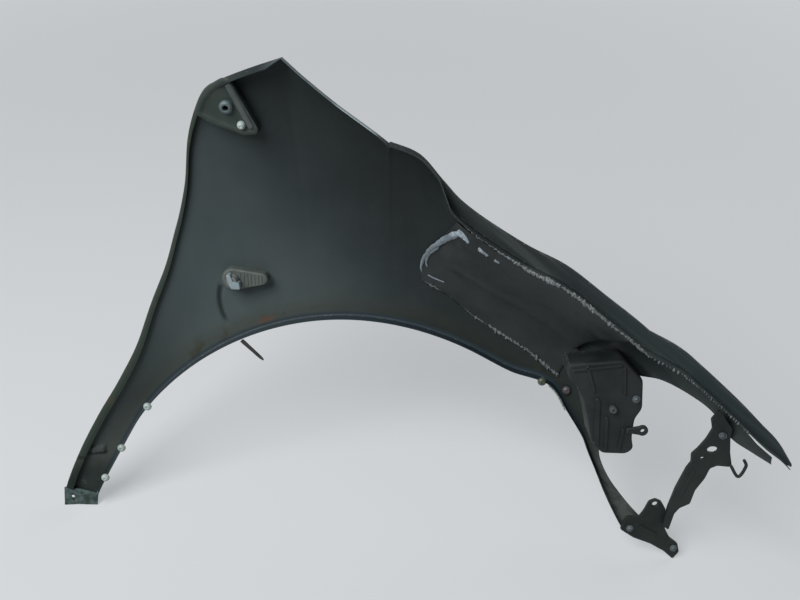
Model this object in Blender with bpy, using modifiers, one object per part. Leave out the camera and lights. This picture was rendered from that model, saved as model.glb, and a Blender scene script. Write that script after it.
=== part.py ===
"""Left front fender of a small car with the brackets, lamp and clips that stay on it.

The fender is drawn upright about the centre of its wheel arch: +X to the nose, +Y outboard, +Z up.
It then leans back on its foot and on the tip of the lower corner bracket, as it stands by a wall.
"""
from math import atan2, cos, degrees, hypot, pi, radians, sin

import bmesh
import bpy
from mathutils import Matrix, Vector

# How the fender stands
LEAN = 18.0

# Outer panel: sheet, wheel arch and crown
SHEET = 0.0008
SEAT_GAP = 0.0006
ARCH_RADIUS = 0.347
ARCH_CROWN = 0.014
PLAN_CURVE = 0.33
CROWN_FORE = 0.150
LIP_RETURN = 0.013
DOOR_HEM = 0.009
DOOR_HEM_RISE = 0.004
TOP_FLANGE = 0.016
TOP_FLANGE_FALL = 0.006
COWL_FLANGE = 0.013
HOOD_STEP = 0.018
HOOD_LEDGE = 0.024
SHOULDER = 0.080
FLANK_SHARE = 0.42
PANEL_ROWS = 14
LEG_ROWS = 2
SPEAR_ROW = 4

# How far the arch lip stands off its circle: bearing in degrees, metres
LIP_LINE = (
    (164.0, 0.009), (157.0, 0.002), (150.0, -0.001), (140.0, 0.001), (100.0, 0.000),
    (66.0, -0.002), (57.0, 0.001), (49.5, 0.018), (44.0, 0.010),
)
# Outer edge of the panel: arch bearing, direction, reach from the arch circle, depth, shoulder fall
DOOR_EDGE = (
    (164.0, 165.5, 0.050, 0.001, 80.0), (155.5, 156.0, 0.045, -0.001, 80.0),
    (146.4, 146.6, 0.044, -0.003, 80.0), (137.0, 137.5, 0.050, -0.006, 80.0),
    (130.0, 122.7, 0.070, -0.008, 82.0), (123.5, 107.5, 0.118, -0.010, 84.0),
    (118.5, 103.3, 0.164, -0.012, 84.0), (115.0, 101.6, 0.205, -0.016, 82.0),
    (112.0, 101.0, 0.252, -0.024, 80.0), (109.0, 100.5, 0.282, -0.033, 76.0),
    (107.0, 99.8, 0.297, -0.039, 74.0), (104.0, 98.9, 0.303, -0.045, 70.0),
)
TOP_EDGE = ((104.0, 98.9, 0.303, -0.045, 70.0), (98.0, 93.1, 0.315, -0.065, 55.0))
COWL_EDGE = (
    (98.0, 93.1, 0.315, -0.065, 55.0), (94.5, 92.8, 0.293, -0.075, 45.0),
    (89.5, 91.8, 0.265, -0.090, 35.0), (82.5, 90.1, 0.233, -0.105, 22.0),
)
HOOD_EDGE = (
    (82.5, 90.1, 0.235, -0.105, 22.0), (78.5, 88.2, 0.227, -0.112, 18.0),
    (75.0, 87.3, 0.207, -0.118, 13.0), (72.0, 86.5, 0.192, -0.124, 9.0),
    (67.5, 84.9, 0.181, -0.133, 8.0), (62.0, 82.0, 0.174, -0.142, 8.0),
    (56.0, 79.7, 0.176, -0.152, 8.0), (50.0, 75.4, 0.171, -0.162, 8.0),
    (44.0, 69.0, 0.168, -0.172, 8.0),
)
# Front leg: bearing, radius, depth, width, turn-in of its front edge
LEG = (
    (38.0, 0.351, -0.047, 0.019, -0.022), (34.0, 0.345, -0.050, 0.010, -0.027),
    (29.5, 0.341, -0.053, 0.010, -0.026), (25.0, 0.339, -0.057, 0.015, -0.020),
    (20.0, 0.341, -0.063, 0.022, -0.013), (16.0, 0.346, -0.068, 0.030, -0.0114),
)
# Nose: lower edge beside the headlamp, and hood edge above it, as forward, depth, height
NOSE_LOWER = (
    (0.330, -0.088, 0.309), (0.352, -0.100, 0.309), (0.377, -0.115, 0.300), (0.400, -0.133, 0.2865),
    (0.418, -0.148, 0.2626), (0.436, -0.160, 0.2525), (0.4555, -0.173, 0.2435),
)
NOSE_UPPER = (
    (0.342, -0.179, 0.381), (0.361, -0.184, 0.366), (0.384, -0.190, 0.346), (0.405, -0.197, 0.327),
    (0.424, -0.203, 0.308), (0.441, -0.209, 0.291), (0.456, -0.214, 0.268),
)
NOSE_SLOT = ((0.433, 0.272), (0.445, 0.270), (0.4585, 0.2645), (0.4585, 0.2495), (0.442, 0.262))

# Foot flange
FOOT_STEP = 0.004
FOOT_EAR = 0.007
FOOT_FLOOR = 0.0815
FOOT_HOLE = 0.0045

# Upper rear gusset
GUSSET_SHEET = 0.0015
GUSSET_OUTLINE = (
    (-0.160, 0.599), (-0.148, 0.618), (-0.133, 0.627), (-0.124, 0.630), (-0.111, 0.608),
    (-0.099, 0.582), (-0.101, 0.577), (-0.116, 0.576), (-0.144, 0.588),
)
# How high its face stands off the skin at the rear, top and front corners
GUSSET_LIFTS = ((0, 0.011), (3, 0.014), (5, 0.017))
GUSSET_BOLT = (-0.129, 0.607)
GUSSET_BOLT_HOLE = 0.0065
WELD_NUT = 0.017
WELD_NUT_HEIGHT = 0.004
GUSSET_PLUG_AT = (-0.115, 0.587)
GUSSET_PLUG = 0.011

# Closing sheet inside the front half, and its bead of sealer
REINFORCEMENT_SHEET = 0.0008
REINFORCEMENT_REAR = ((0.119, 0.484), (0.105, 0.461), (0.086, 0.434), (0.080, 0.416), (0.082, 0.397))
REINFORCEMENT_LOWER = (
    (0.082, 0.397), (0.110, 0.383), (0.142, 0.357), (0.174, 0.337), (0.209, 0.316), (0.246, 0.286),
)
REINFORCEMENT_FIRST, REINFORCEMENT_LAST = 72.5, 46.5
REINFORCEMENT_BELLY = 0.045
SEALER = 0.0075

# Moulded bracket behind the headlamp
BLOCK_OUTLINE = (
    (0.238, 0.343), (0.300, 0.346), (0.323, 0.321), (0.325, 0.286), (0.317, 0.272), (0.316, 0.250),
    (0.321, 0.235), (0.312, 0.229), (0.283, 0.229), (0.262, 0.252), (0.244, 0.281),
)
BLOCK_BACK = -0.094
BLOCK_DEPTH = 0.034
BLOCK_WALL = 0.003
BLOCK_FEET = ((0.262, 0.318), (0.268, 0.286))
BLOCK_FOOT = 0.012
STUD_AT = (0.291, 0.289)
STUD = 0.009
STUD_HEIGHT = 0.008
CLIP_AT = (0.3285, 0.259)
CLIP_RING = 0.0125
CLIP_HOLE = 0.005
CLIP_THICKNESS = 0.003
BLOCK_SCREW_AT = (0.312, 0.297)
SCREW_HEAD = 0.009

# Strut from the nose to the lower corner
STRUT_THICKNESS = 0.005
STRUT_OUTLINE = (
    (0.399, 0.300), (0.394, 0.286), (0.398, 0.273), (0.395, 0.257), (0.390, 0.242), (0.385, 0.231),
    (0.387, 0.219), (0.384, 0.209), (0.379, 0.173), (0.377, 0.141), (0.3765, 0.108), (0.384, 0.102),
    (0.385, 0.131), (0.389, 0.143), (0.398, 0.153), (0.399, 0.176), (0.405, 0.198), (0.407, 0.215),
    (0.414, 0.222), (0.427, 0.223), (0.421, 0.243), (0.4165, 0.2645), (0.416, 0.277),
)
STRUT_LEAN = -0.35
STRUT_HOLE_AT = (0.4035, 0.243)
STRUT_HOLE = 0.011
STRUT_SCREW_AT = (0.4085, 0.267)
HOOK_WIRE = 0.003
HOOK_ROUTE = ((0.424, 0.226), (0.434, 0.212), (0.441, 0.225), (0.438, 0.233))

# Bracket under the front leg
CORNER_THICKNESS = 0.003
CORNER_DEPTH = -0.0800
CORNER_OUTLINE = (
    (0.331, 0.098), (0.345, 0.087), (0.366, 0.078), (0.384, 0.067), (0.396, 0.0558), (0.403, 0.066),
    (0.400, 0.078), (0.389, 0.087), (0.382, 0.100), (0.380, 0.128), (0.3735, 0.139), (0.366, 0.1425),
    (0.3585, 0.139), (0.354, 0.127), (0.349, 0.118), (0.336, 0.116),
)
CORNER_EAR_AT = (0.366, 0.1355)
CORNER_EAR_HOLE = 0.007
CORNER_SCREWS = (("corner_screw_rear", (0.3385, 0.101)), ("corner_screw_front", (0.395, 0.072)))

# Wheel-arch liner fixings
GROMMET = 0.0105
GROMMET_THICKNESS = 0.004
GROMMET_BEARINGS = (139.2, 150.6, 158.6)
FRONT_GROMMET_BEARING = 51.4
PLUG_BEARING = 46.31
PLUG_ABOVE_ARCH = 0.025
EDGE_CLIP_FIRST, EDGE_CLIP_LAST = 49.6, 44.2
EDGE_CLIP_THICKNESS = 0.0015
TAB_BEARING = 113.9
TAB_LENGTH = 0.034
TAB_WIDTH = 0.006
TAB_THICKNESS = 0.002
TAB_SLOPE = -37.0

# Side lamp
LAMP_BEARING = 108.13
LAMP_ABOVE_ARCH = 0.0707
LAMP_LENGTH = 0.056
LAMP_HEIGHT = 0.028
LAMP_TIP = 0.015
LAMP_WALL = 0.0015
LAMP_DEPTH = 0.012
LAMP_RIM = 0.002
LAMP_DOME = 0.007
HOLDER = 0.015
HOLDER_HEIGHT = 0.010
BULB = 0.007
BULB_LENGTH = 0.008


def material(name, colour, roughness, metallic=0.0, alpha=1.0):
    """A plain Principled finish."""
    finish = bpy.data.materials.new(name)
    finish.use_nodes = True
    shader = finish.node_tree.nodes["Principled BSDF"]
    shader.inputs["Base Color"].default_value = (*colour, 1.0)
    shader.inputs["Roughness"].default_value = roughness
    shader.inputs["Metallic"].default_value = metallic
    shader.inputs["Alpha"].default_value = alpha
    return finish


def smooth(table, at):
    """Values read from a table whose first column falls or rises steadily, on a smooth curve."""
    rows = sorted(table)
    at = min(max(at, rows[0][0]), rows[-1][0])
    k = max(i for i in range(len(rows) - 1) if rows[i][0] <= at or i == 0)
    a, b = rows[k], rows[k + 1]
    before = rows[max(k - 1, 0)]
    after = rows[min(k + 2, len(rows) - 1)]
    span = b[0] - a[0]
    u = (at - a[0]) / span
    values = []
    for j in range(1, len(a)):
        slope_a = (b[j] - before[j]) / (b[0] - before[0]) * span
        slope_b = (after[j] - a[j]) / (after[0] - a[0]) * span
        values.append(
            (2 * u**3 - 3 * u**2 + 1) * a[j] + (u**3 - 2 * u**2 + u) * slope_a
            + (3 * u**2 - 2 * u**3) * b[j] + (u**3 - u**2) * slope_b
        )
    return values


def polar(bearing, radius):
    """A point of the side view from its bearing at the arch centre."""
    return Vector((radius * cos(radians(bearing)), 0.0, radius * sin(radians(bearing))))


def lip_point(bearing):
    """Where the wheel-arch lip runs."""
    point = polar(bearing, ARCH_RADIUS + smooth(LIP_LINE, bearing)[0])
    point.y = ARCH_CROWN - PLAN_CURVE * (point.x + CROWN_FORE) ** 2
    return point


def bezier(cage, t):
    """A point on a cubic curve."""
    a, b, c, d = cage
    return (1 - t) ** 3 * a + 3 * t * (1 - t) ** 2 * b + 3 * t * t * (1 - t) * c + t**3 * d


def section_cage(edge, bearing):
    """The four control points of a panel section from the lip to the outer edge."""
    direction, reach, depth, fall = smooth(edge, bearing)
    low = lip_point(bearing)
    high = polar(bearing, ARCH_RADIUS) + polar(direction, reach)
    high.y = depth
    across = across_of((low, low, high, high))
    handle = min(SHOULDER, 0.36 * reach)
    turn = Vector((0, cos(radians(fall)), 0)) - across * sin(radians(fall))
    flank = low + across * (FLANK_SHARE * reach)
    return (low, flank, high + turn * handle, high)


def panel_cage(bearing):
    """The section at any bearing of the main sheet."""
    for edge in (DOOR_EDGE, TOP_EDGE, COWL_EDGE, HOOD_EDGE):
        if edge[-1][0] <= bearing <= edge[0][0]:
            return section_cage(edge, bearing)
    raise ValueError("the main sheet has no section there")


def skin_depth(x, z):
    """Depth of the panel's inner face at a place of the side view."""
    spot = Vector((x, 0, z))
    low, high = HOOD_EDGE[-1][0], DOOR_EDGE[0][0]
    for _ in range(40):
        bearing = (low + high) / 2
        cage = panel_cage(bearing)
        line = cage[3] - cage[0]
        off = spot - cage[0]
        if line.x * off.z - line.z * off.x > 0:
            low = bearing
        else:
            high = bearing
    length = hypot(line.x, line.z)
    wanted = (off.x * line.x + off.z * line.z) / length
    start, end = 0.0, 1.0
    for _ in range(40):
        t = (start + end) / 2
        point = bezier(cage, t)
        along = ((point.x - cage[0].x) * line.x + (point.z - cage[0].z) * line.z) / length
        if along < wanted:
            start = t
        else:
            end = t
    return bezier(cage, t).y


def seat_depth(x, z, radius):
    """The shallowest depth under a round foot, less the seat gap."""
    rim = [(x, z)]
    rim += [(x + radius * cos(k * pi / 4), z + radius * sin(k * pi / 4)) for k in range(8)]
    return min(skin_depth(*spot) for spot in rim) - SEAT_GAP


def fold(kind, across):
    """The two folds beyond the outer edge: step and ledge."""
    inboard = Vector((0, -1, 0))
    folds = {
        "door": (inboard * DOOR_HEM_RISE, -across * DOOR_HEM + inboard * 0.2 * DOOR_HEM_RISE),
        "top": (inboard * 0.5 * TOP_FLANGE - across * 0.5 * TOP_FLANGE_FALL,
                inboard * 0.5 * TOP_FLANGE - across * 0.5 * TOP_FLANGE_FALL),
        "cowl": (inboard * 0.4 * COWL_FLANGE, inboard * 0.6 * COWL_FLANGE),
        "hinge": (inboard * 0.2 * COWL_FLANGE - across * 0.2 * HOOD_STEP, inboard * 0.5 * COWL_FLANGE),
        "hood": (-across * HOOD_STEP, inboard * HOOD_LEDGE),
    }
    return folds[kind]


def panel_columns():
    """Bearings of the main sheet's sections, rear to front, with the fold beyond each."""
    spans = (
        (DOOR_EDGE, "door", 30), (TOP_EDGE, "top", 4), (COWL_EDGE, "cowl", 9), (HOOD_EDGE, "hood", 22),
    )
    columns = []
    for edge, kind, count in spans:
        first, last = edge[0][0], edge[-1][0]
        for k in range(count):
            bearing = first + (last - first) * k / count
            columns.append((bearing, "hinge" if kind == "hood" and bearing > 74.0 else kind))
    columns.append((HOOD_EDGE[-1][0], "hood"))
    return columns


def across_of(cage):
    """Direction of a section in the side view."""
    line = cage[3] - cage[0]
    line.y = 0
    return line.normalized()


def panel_column(bearing, kind):
    """All points of one section: lip return, skin, step and ledge."""
    cage = panel_cage(bearing)
    skin = [bezier(cage, k / PANEL_ROWS) for k in range(PANEL_ROWS + 1)]
    step, ledge = fold(kind, across_of(cage))
    return [skin[0] + Vector((0, -LIP_RETURN, 0))] + skin + [skin[-1] + step, skin[-1] + step + ledge]


def leg_column(k):
    """One section of the front leg, from its lip return to its front edge."""
    bearing, radius, depth, width, turn = LEG[k]
    outer = polar(bearing, radius)
    outer.y = depth
    inner = outer + polar(bearing, width) + Vector((0, turn, 0))
    rows = [outer.lerp(inner, j / LEG_ROWS) for j in range(LEG_ROWS + 1)]
    return [outer + Vector((0, -LIP_RETURN, 0))] + rows


def refine(columns, times):
    """Columns on smooth curves through the given ones."""
    fine = []
    for k in range(len(columns) - 1):
        for step in range(times):
            u = step / times
            row = []
            for j in range(len(columns[k])):
                a, b = columns[k][j], columns[k + 1][j]
                before = columns[max(k - 1, 0)][j]
                after = columns[min(k + 2, len(columns) - 1)][j]
                slope_a = (b - before) / (2 if k else 1)
                slope_b = (after - a) / (2 if k + 2 < len(columns) else 1)
                row.append((2 * u**3 - 3 * u**2 + 1) * a + (u**3 - 2 * u**2 + u) * slope_a
                           + (3 * u**2 - 2 * u**3) * b + (u**3 - u**2) * slope_b)
            fine.append(row)
    fine.append(columns[-1])
    return fine


def nose_cage(low, high):
    """The section of the nose between the headlamp gap and the hood edge."""
    low, high = Vector(low), Vector(high)
    across = across_of((low, low, high, high))
    reach = (high - low).dot(across)
    handle = min(SHOULDER, 0.9 * (low.y - high.y))
    fall = radians(HOOD_EDGE[-1][4])
    turn = Vector((0, cos(fall), 0)) - across * sin(fall)
    return (low, low + across * 0.5 * reach + Vector((0, 0.006, 0)), high + turn * handle, high)


def nose_column(low, high, fade):
    """One section of the nose: skin, step and ledge, which fade out to the tip."""
    cage = nose_cage(low, high)
    count = PANEL_ROWS - SPEAR_ROW
    skin = [bezier(cage, j / count) for j in range(count + 1)]
    step, ledge = fold("hood", across_of(cage))
    return skin + [skin[-1] + step * fade, skin[-1] + (step + ledge) * fade]


def add_strip(mesh, left, right):
    """Quads between two rows of vertices."""
    for k in range(len(left) - 1):
        mesh.faces.new((left[k], left[k + 1], right[k + 1], right[k]))


def panel_sheet():
    """The inner face of the whole pressing."""
    mesh = bmesh.new()
    grid = [[mesh.verts.new(p) for p in panel_column(*column)] for column in panel_columns()]
    for left, right in zip(grid, grid[1:]):
        add_strip(mesh, left, right)
    last = grid[-1]
    root = [v.co.copy() for v in last[:LEG_ROWS + 2]]
    leg = refine([root] + [leg_column(k) for k in range(len(LEG))], 4)
    before = last[:LEG_ROWS + 2]
    for column in leg[1:]:
        verts = [mesh.verts.new(p) for p in column]
        add_strip(mesh, before, verts)
        before = verts
    start = [v.co.copy() for v in last[SPEAR_ROW + 1:]]
    fades = (1.0, 1.0, 1.0, 1.0, 0.9, 0.7, 0.35)
    nose = [nose_column(a, b, f) for a, b, f in zip(NOSE_LOWER, NOSE_UPPER, fades)]
    before = last[SPEAR_ROW + 1:]
    for column in refine([start] + nose, 3)[1:]:
        verts = [mesh.verts.new(p) for p in column]
        add_strip(mesh, before, verts)
        before = verts
    foot = grid[0][2:PANEL_ROWS + 1]
    step = [mesh.verts.new(v.co + Vector((0, -FOOT_STEP, 0))) for v in foot]
    step[-1].co += (foot[-1].co - foot[0].co).normalized() * FOOT_EAR
    floor = [mesh.verts.new((v.co.x - 0.003, v.co.y, FOOT_FLOOR)) for v in step]
    add_strip(mesh, step, foot)
    add_strip(mesh, floor, step)
    return mesh


def new_object(name, mesh, finish):
    """An object of the fender from a mesh under construction."""
    data = bpy.data.meshes.new(name)
    mesh.to_mesh(data)
    mesh.free()
    data.materials.append(finish)
    thing = bpy.data.objects.new(name, data)
    parts.objects.link(thing)
    thing.parent = stand
    return thing


def hide_as_cutter(thing):
    """Moves a tool shape to the collection of cutters."""
    for home in thing.users_collection:
        home.objects.unlink(thing)
    cutters.objects.link(thing)
    thing.hide_render = True
    thing.display_type = "WIRE"


def boolean(thing, tool, operation="DIFFERENCE"):
    """Cuts or joins a tool shape."""
    hide_as_cutter(tool)
    change = thing.modifiers.new(operation.title(), "BOOLEAN")
    change.operation = operation
    change.object = tool
    change.solver = "EXACT"


def flat_outline(outline, thickness, holes=()):
    """A plate drawn in the side view, with its outboard face at depth zero, as a mesh."""
    curve = bpy.data.curves.new("outline", "CURVE")
    curve.dimensions = "2D"
    curve.fill_mode = "BOTH"
    curve.extrude = thickness / 2
    loops = [list(outline)]
    turns = [k * pi / 8 for k in range(16)]
    for (x, z), width in holes:
        loops.append([(x + width / 2 * cos(a), z + width / 2 * sin(a)) for a in turns])
    for loop in loops:
        spline = curve.splines.new("POLY")
        spline.points.add(len(loop) - 1)
        for point, (x, z) in zip(spline.points, loop):
            point.co = (x, z, 0.0, 1.0)
        spline.use_cyclic_u = True
    drawn = bpy.data.objects.new("outline", curve)
    bpy.context.scene.collection.objects.link(drawn)
    bpy.context.view_layer.update()
    solid = bpy.data.meshes.new_from_object(drawn.evaluated_get(bpy.context.evaluated_depsgraph_get()))
    bpy.data.objects.remove(drawn)
    mesh = bmesh.new()
    mesh.from_mesh(solid)
    bmesh.ops.remove_doubles(mesh, verts=mesh.verts, dist=0.00001)
    upright = Matrix(((1, 0, 0, 0), (0, 0, 1, -thickness / 2), (0, 1, 0, 0), (0, 0, 0, 1)))
    bmesh.ops.transform(mesh, matrix=upright, verts=mesh.verts)
    bmesh.ops.recalc_face_normals(mesh, faces=mesh.faces)
    return mesh


def plate(name, outline, thickness, depth, finish, holes=()):
    """A flat plate whose outboard face is at a depth, or at a depth given by a function."""
    mesh = flat_outline(outline, thickness, holes)
    for vert in mesh.verts:
        vert.co.y += depth(vert.co.x, vert.co.z) if callable(depth) else depth
    return new_object(name, mesh, finish)


def rounded(thing, width, segments=2):
    """Small rounded edges."""
    edge = thing.modifiers.new("Edges", "BEVEL")
    edge.width = width
    edge.segments = segments
    edge.limit_method = "ANGLE"
    edge.angle_limit = radians(40)


def turned(name, profile, place, finish, sides=20):
    """A round piece: radius and height pairs from the outer top to the bottom, spun about its axis."""
    mesh = bmesh.new()
    verts = [mesh.verts.new((radius, 0, height)) for radius, height in profile]
    for a, b in zip(verts, verts[1:]):
        mesh.edges.new((a, b))
    thing = new_object(name, mesh, finish)
    thing.matrix_local = place
    spin = thing.modifiers.new("Turn", "SCREW")
    spin.steps = sides
    spin.render_steps = sides
    spin.use_merge_vertices = True
    spin.merge_threshold = 0.00001
    spin.use_smooth_shade = True
    return thing


def facing(x, y, z, direction=(0, -1, 0)):
    """A place whose own +Z looks along a direction."""
    turn = Vector(direction).to_track_quat("Z", "Y").to_matrix().to_4x4()
    return Matrix.Translation((x, y, z)) @ turn


def screw(name, x, y, z, head, finish, direction=(0, -1, 0)):
    """A low domed screw head on a face."""
    profile = ((0, 0.45 * head), (0.30 * head, 0.40 * head), (0.46 * head, 0.22 * head),
               (0.5 * head, 0.10 * head), (0.5 * head, 0), (0, 0))
    return turned(name, profile, facing(x, y, z, direction), finish, 16)


def cylinder(radius, depth, place, sides=16):
    """A plain round tool shape."""
    mesh = bmesh.new()
    bmesh.ops.create_cone(mesh, cap_ends=True, segments=sides, radius1=radius, radius2=radius, depth=depth)
    data = bpy.data.meshes.new("round")
    mesh.to_mesh(data)
    mesh.free()
    data.transform(place)
    tool = bpy.data.objects.new("round", data)
    tool.parent = stand
    parts.objects.link(tool)
    return tool


def prism(name, outline, near, far):
    """A tool shape through the panel between two depths."""
    mesh = flat_outline(outline, far - near)
    data = bpy.data.meshes.new(name)
    bmesh.ops.translate(mesh, vec=(0, far, 0), verts=mesh.verts)
    mesh.to_mesh(data)
    mesh.free()
    tool = bpy.data.objects.new(name, data)
    tool.parent = stand
    parts.objects.link(tool)
    return tool


def lamp_place():
    """Middle of the side lamp in the side view."""
    spot = polar(LAMP_BEARING, ARCH_RADIUS + LAMP_ABOVE_ARCH)
    return spot.x, spot.z


def teardrop(grow):
    """Outline of the side lamp, its round end to the rear, grown evenly."""
    points = []
    rear = LAMP_HEIGHT / 2
    tip = LAMP_TIP / 2
    x0, z0 = lamp_place()
    rear_x = x0 - LAMP_LENGTH / 2 + rear
    tip_x = x0 + LAMP_LENGTH / 2 - tip
    for k in range(9):
        angle = radians(85 + 190 * k / 8)
        points.append((rear_x + (rear + grow) * cos(angle), z0 + (rear + grow) * sin(angle)))
    for k in range(5):
        angle = radians(-80 + 160 * k / 4)
        points.append((tip_x + (tip + grow) * cos(angle), z0 + (tip + grow) * sin(angle)))
    return points


def build_panel(finish):
    """The pressing, with its lamp hole, its foot hole and the slot at the nose."""
    panel = new_object("fender_panel", panel_sheet(), finish)
    skin = panel.modifiers.new("Sheet", "SOLIDIFY")
    skin.thickness = SHEET
    skin.offset = 1.0
    skin.use_even_offset = True
    boolean(panel, prism("lamp_hole", teardrop(-LAMP_RIM), -0.05, 0.06))
    boolean(panel, prism("nose_slot", NOSE_SLOT, -0.30, -0.10))
    foot = panel_column(DOOR_EDGE[0][0], "door")[PANEL_ROWS - 1]
    place = facing(foot.x - 0.002, foot.y - FOOT_STEP, foot.z - 0.012)
    boolean(panel, cylinder(FOOT_HOLE / 2, 0.02, place))
    return panel


def gusset_face():
    """The gusset's flat face: a corner of it and its outward direction, away from the panel."""
    spots = []
    for k, lift in GUSSET_LIFTS:
        x, z = GUSSET_OUTLINE[k]
        spots.append(Vector((x, skin_depth(x, z) - lift, z)))
    normal = (spots[1] - spots[0]).cross(spots[2] - spots[0]).normalized()
    return spots[0], normal if normal.y < 0 else -normal


def on_gusset(x, z, above=0.0):
    """A point over the gusset's face."""
    corner, normal = gusset_face()
    y = corner.y - (normal.x * (x - corner.x) + normal.z * (z - corner.z)) / normal.y
    return Vector((x, y, z)) + normal * above


def build_gusset(pressed, bright, white):
    """The upper rear bracket: a flat face over skirts that stand on the panel."""
    normal = gusset_face()[1]
    mesh = bmesh.new()
    top = [mesh.verts.new(on_gusset(x, z)) for x, z in GUSSET_OUTLINE]
    face = mesh.faces.new(top)
    skirt = top[3:] + top[:1]
    low = [mesh.verts.new((v.co.x, skin_depth(v.co.x, v.co.z) - 2 * SEAT_GAP, v.co.z)) for v in skirt]
    for end in (0, -1):
        low[end].co.y = skirt[end].co.y + 0.3 * (low[end].co.y - skirt[end].co.y)
    add_strip(mesh, skirt, low)
    bmesh.ops.recalc_face_normals(mesh, faces=mesh.faces)
    if face.normal.dot(normal) < 0:
        bmesh.ops.reverse_faces(mesh, faces=mesh.faces)
    gusset = new_object("upper_rear_gusset", mesh, pressed)
    sheet = gusset.modifiers.new("Sheet", "SOLIDIFY")
    sheet.thickness = GUSSET_SHEET
    sheet.offset = 1.0
    sheet.use_even_offset = True
    bolt = on_gusset(*GUSSET_BOLT)
    boolean(gusset, cylinder(GUSSET_BOLT_HOLE / 2, 0.02, facing(*bolt, normal)))
    outer, inner, tall = WELD_NUT / 2, GUSSET_BOLT_HOLE / 2, WELD_NUT_HEIGHT
    ring = ((inner, tall), (0.75 * outer, tall), (outer, 0.6 * tall), (outer, 0), (inner, 0), (inner, tall))
    above = GUSSET_SHEET + 0.0003
    turned("gusset_weld_nut", ring, facing(*on_gusset(*GUSSET_BOLT, above), normal), bright, 24)
    wide = GUSSET_PLUG
    dome = ((0, 0.5 * wide), (0.35 * wide, 0.38 * wide), (0.5 * wide, 0.1 * wide), (0.5 * wide, 0), (0, 0))
    turned("gusset_plug", dome, facing(*on_gusset(*GUSSET_PLUG_AT, above), normal), white, 16)


def ledge_corner(bearing):
    """The inboard edge of the hood ledge, on its underside."""
    cage = panel_cage(bearing)
    across = across_of(cage)
    step, ledge = fold("hood", across)
    return cage[3] + step + ledge - across * SEAT_GAP - ledge.normalized() * 0.001


def on_line(points, share):
    """A point at a share of the way along a row of points."""
    place = share * (len(points) - 1)
    k = min(int(place), len(points) - 2)
    return points[k].lerp(points[k + 1], place - k)


def build_reinforcement(dark, sealer):
    """The closing sheet between flank and ledge, and the bead along its rear edge."""
    count, rows = 20, 8
    rear = [Vector((x, skin_depth(x, z) - SEAT_GAP, z)) for x, z in REINFORCEMENT_REAR]
    lower = [Vector((x, skin_depth(x, z) - SEAT_GAP, z)) for x, z in REINFORCEMENT_LOWER]
    first = ledge_corner(REINFORCEMENT_FIRST)
    mesh = bmesh.new()
    grid = []
    for i in range(count + 1):
        s = i / count
        bearing = REINFORCEMENT_FIRST + (REINFORCEMENT_LAST - REINFORCEMENT_FIRST) * s
        high, low = ledge_corner(bearing), on_line(lower, s)
        column = []
        for j in range(rows + 1):
            v = j / rows
            point = low.lerp(high, v)
            rim = on_line(rear, 1 - v) - rear[-1].lerp(first, v)
            point = point + rim * (1 - s) ** 4
            point.y += REINFORCEMENT_BELLY * (0.2 + 0.8 * s) * sin(pi * v)
            point.y = min(point.y, skin_depth(point.x, point.z) - SEAT_GAP)
            column.append(mesh.verts.new(point))
        grid.append(column)
    for left, right in zip(grid, grid[1:]):
        add_strip(mesh, right, left)
    closing = new_object("inner_reinforcement", mesh, dark)
    sheet = closing.modifiers.new("Sheet", "SOLIDIFY")
    sheet.thickness = REINFORCEMENT_SHEET
    sheet.offset = 1.0
    curve = bpy.data.curves.new("bead", "CURVE")
    curve.dimensions = "3D"
    curve.bevel_depth = SEALER / 2
    curve.bevel_resolution = 2
    curve.use_fill_caps = True
    spline = curve.splines.new("POLY")
    spline.points.add(len(rear) - 1)
    for point, spot in zip(spline.points, rear):
        x, z = spot.x - 0.38 * SEALER, spot.z + 0.15 * SEALER
        point.co = (x, seat_depth(x, z, SEALER / 2) - SEALER / 2, z, 1)
    drawn = bpy.data.objects.new("bead", curve)
    bpy.context.scene.collection.objects.link(drawn)
    bpy.context.view_layer.update()
    solid = bpy.data.meshes.new_from_object(drawn.evaluated_get(bpy.context.evaluated_depsgraph_get()))
    bpy.data.objects.remove(drawn)
    mesh = bmesh.new()
    mesh.from_mesh(solid)
    bmesh.ops.remove_doubles(mesh, verts=mesh.verts, dist=0.00001)
    new_object("reinforcement_sealer", mesh, sealer)


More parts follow.
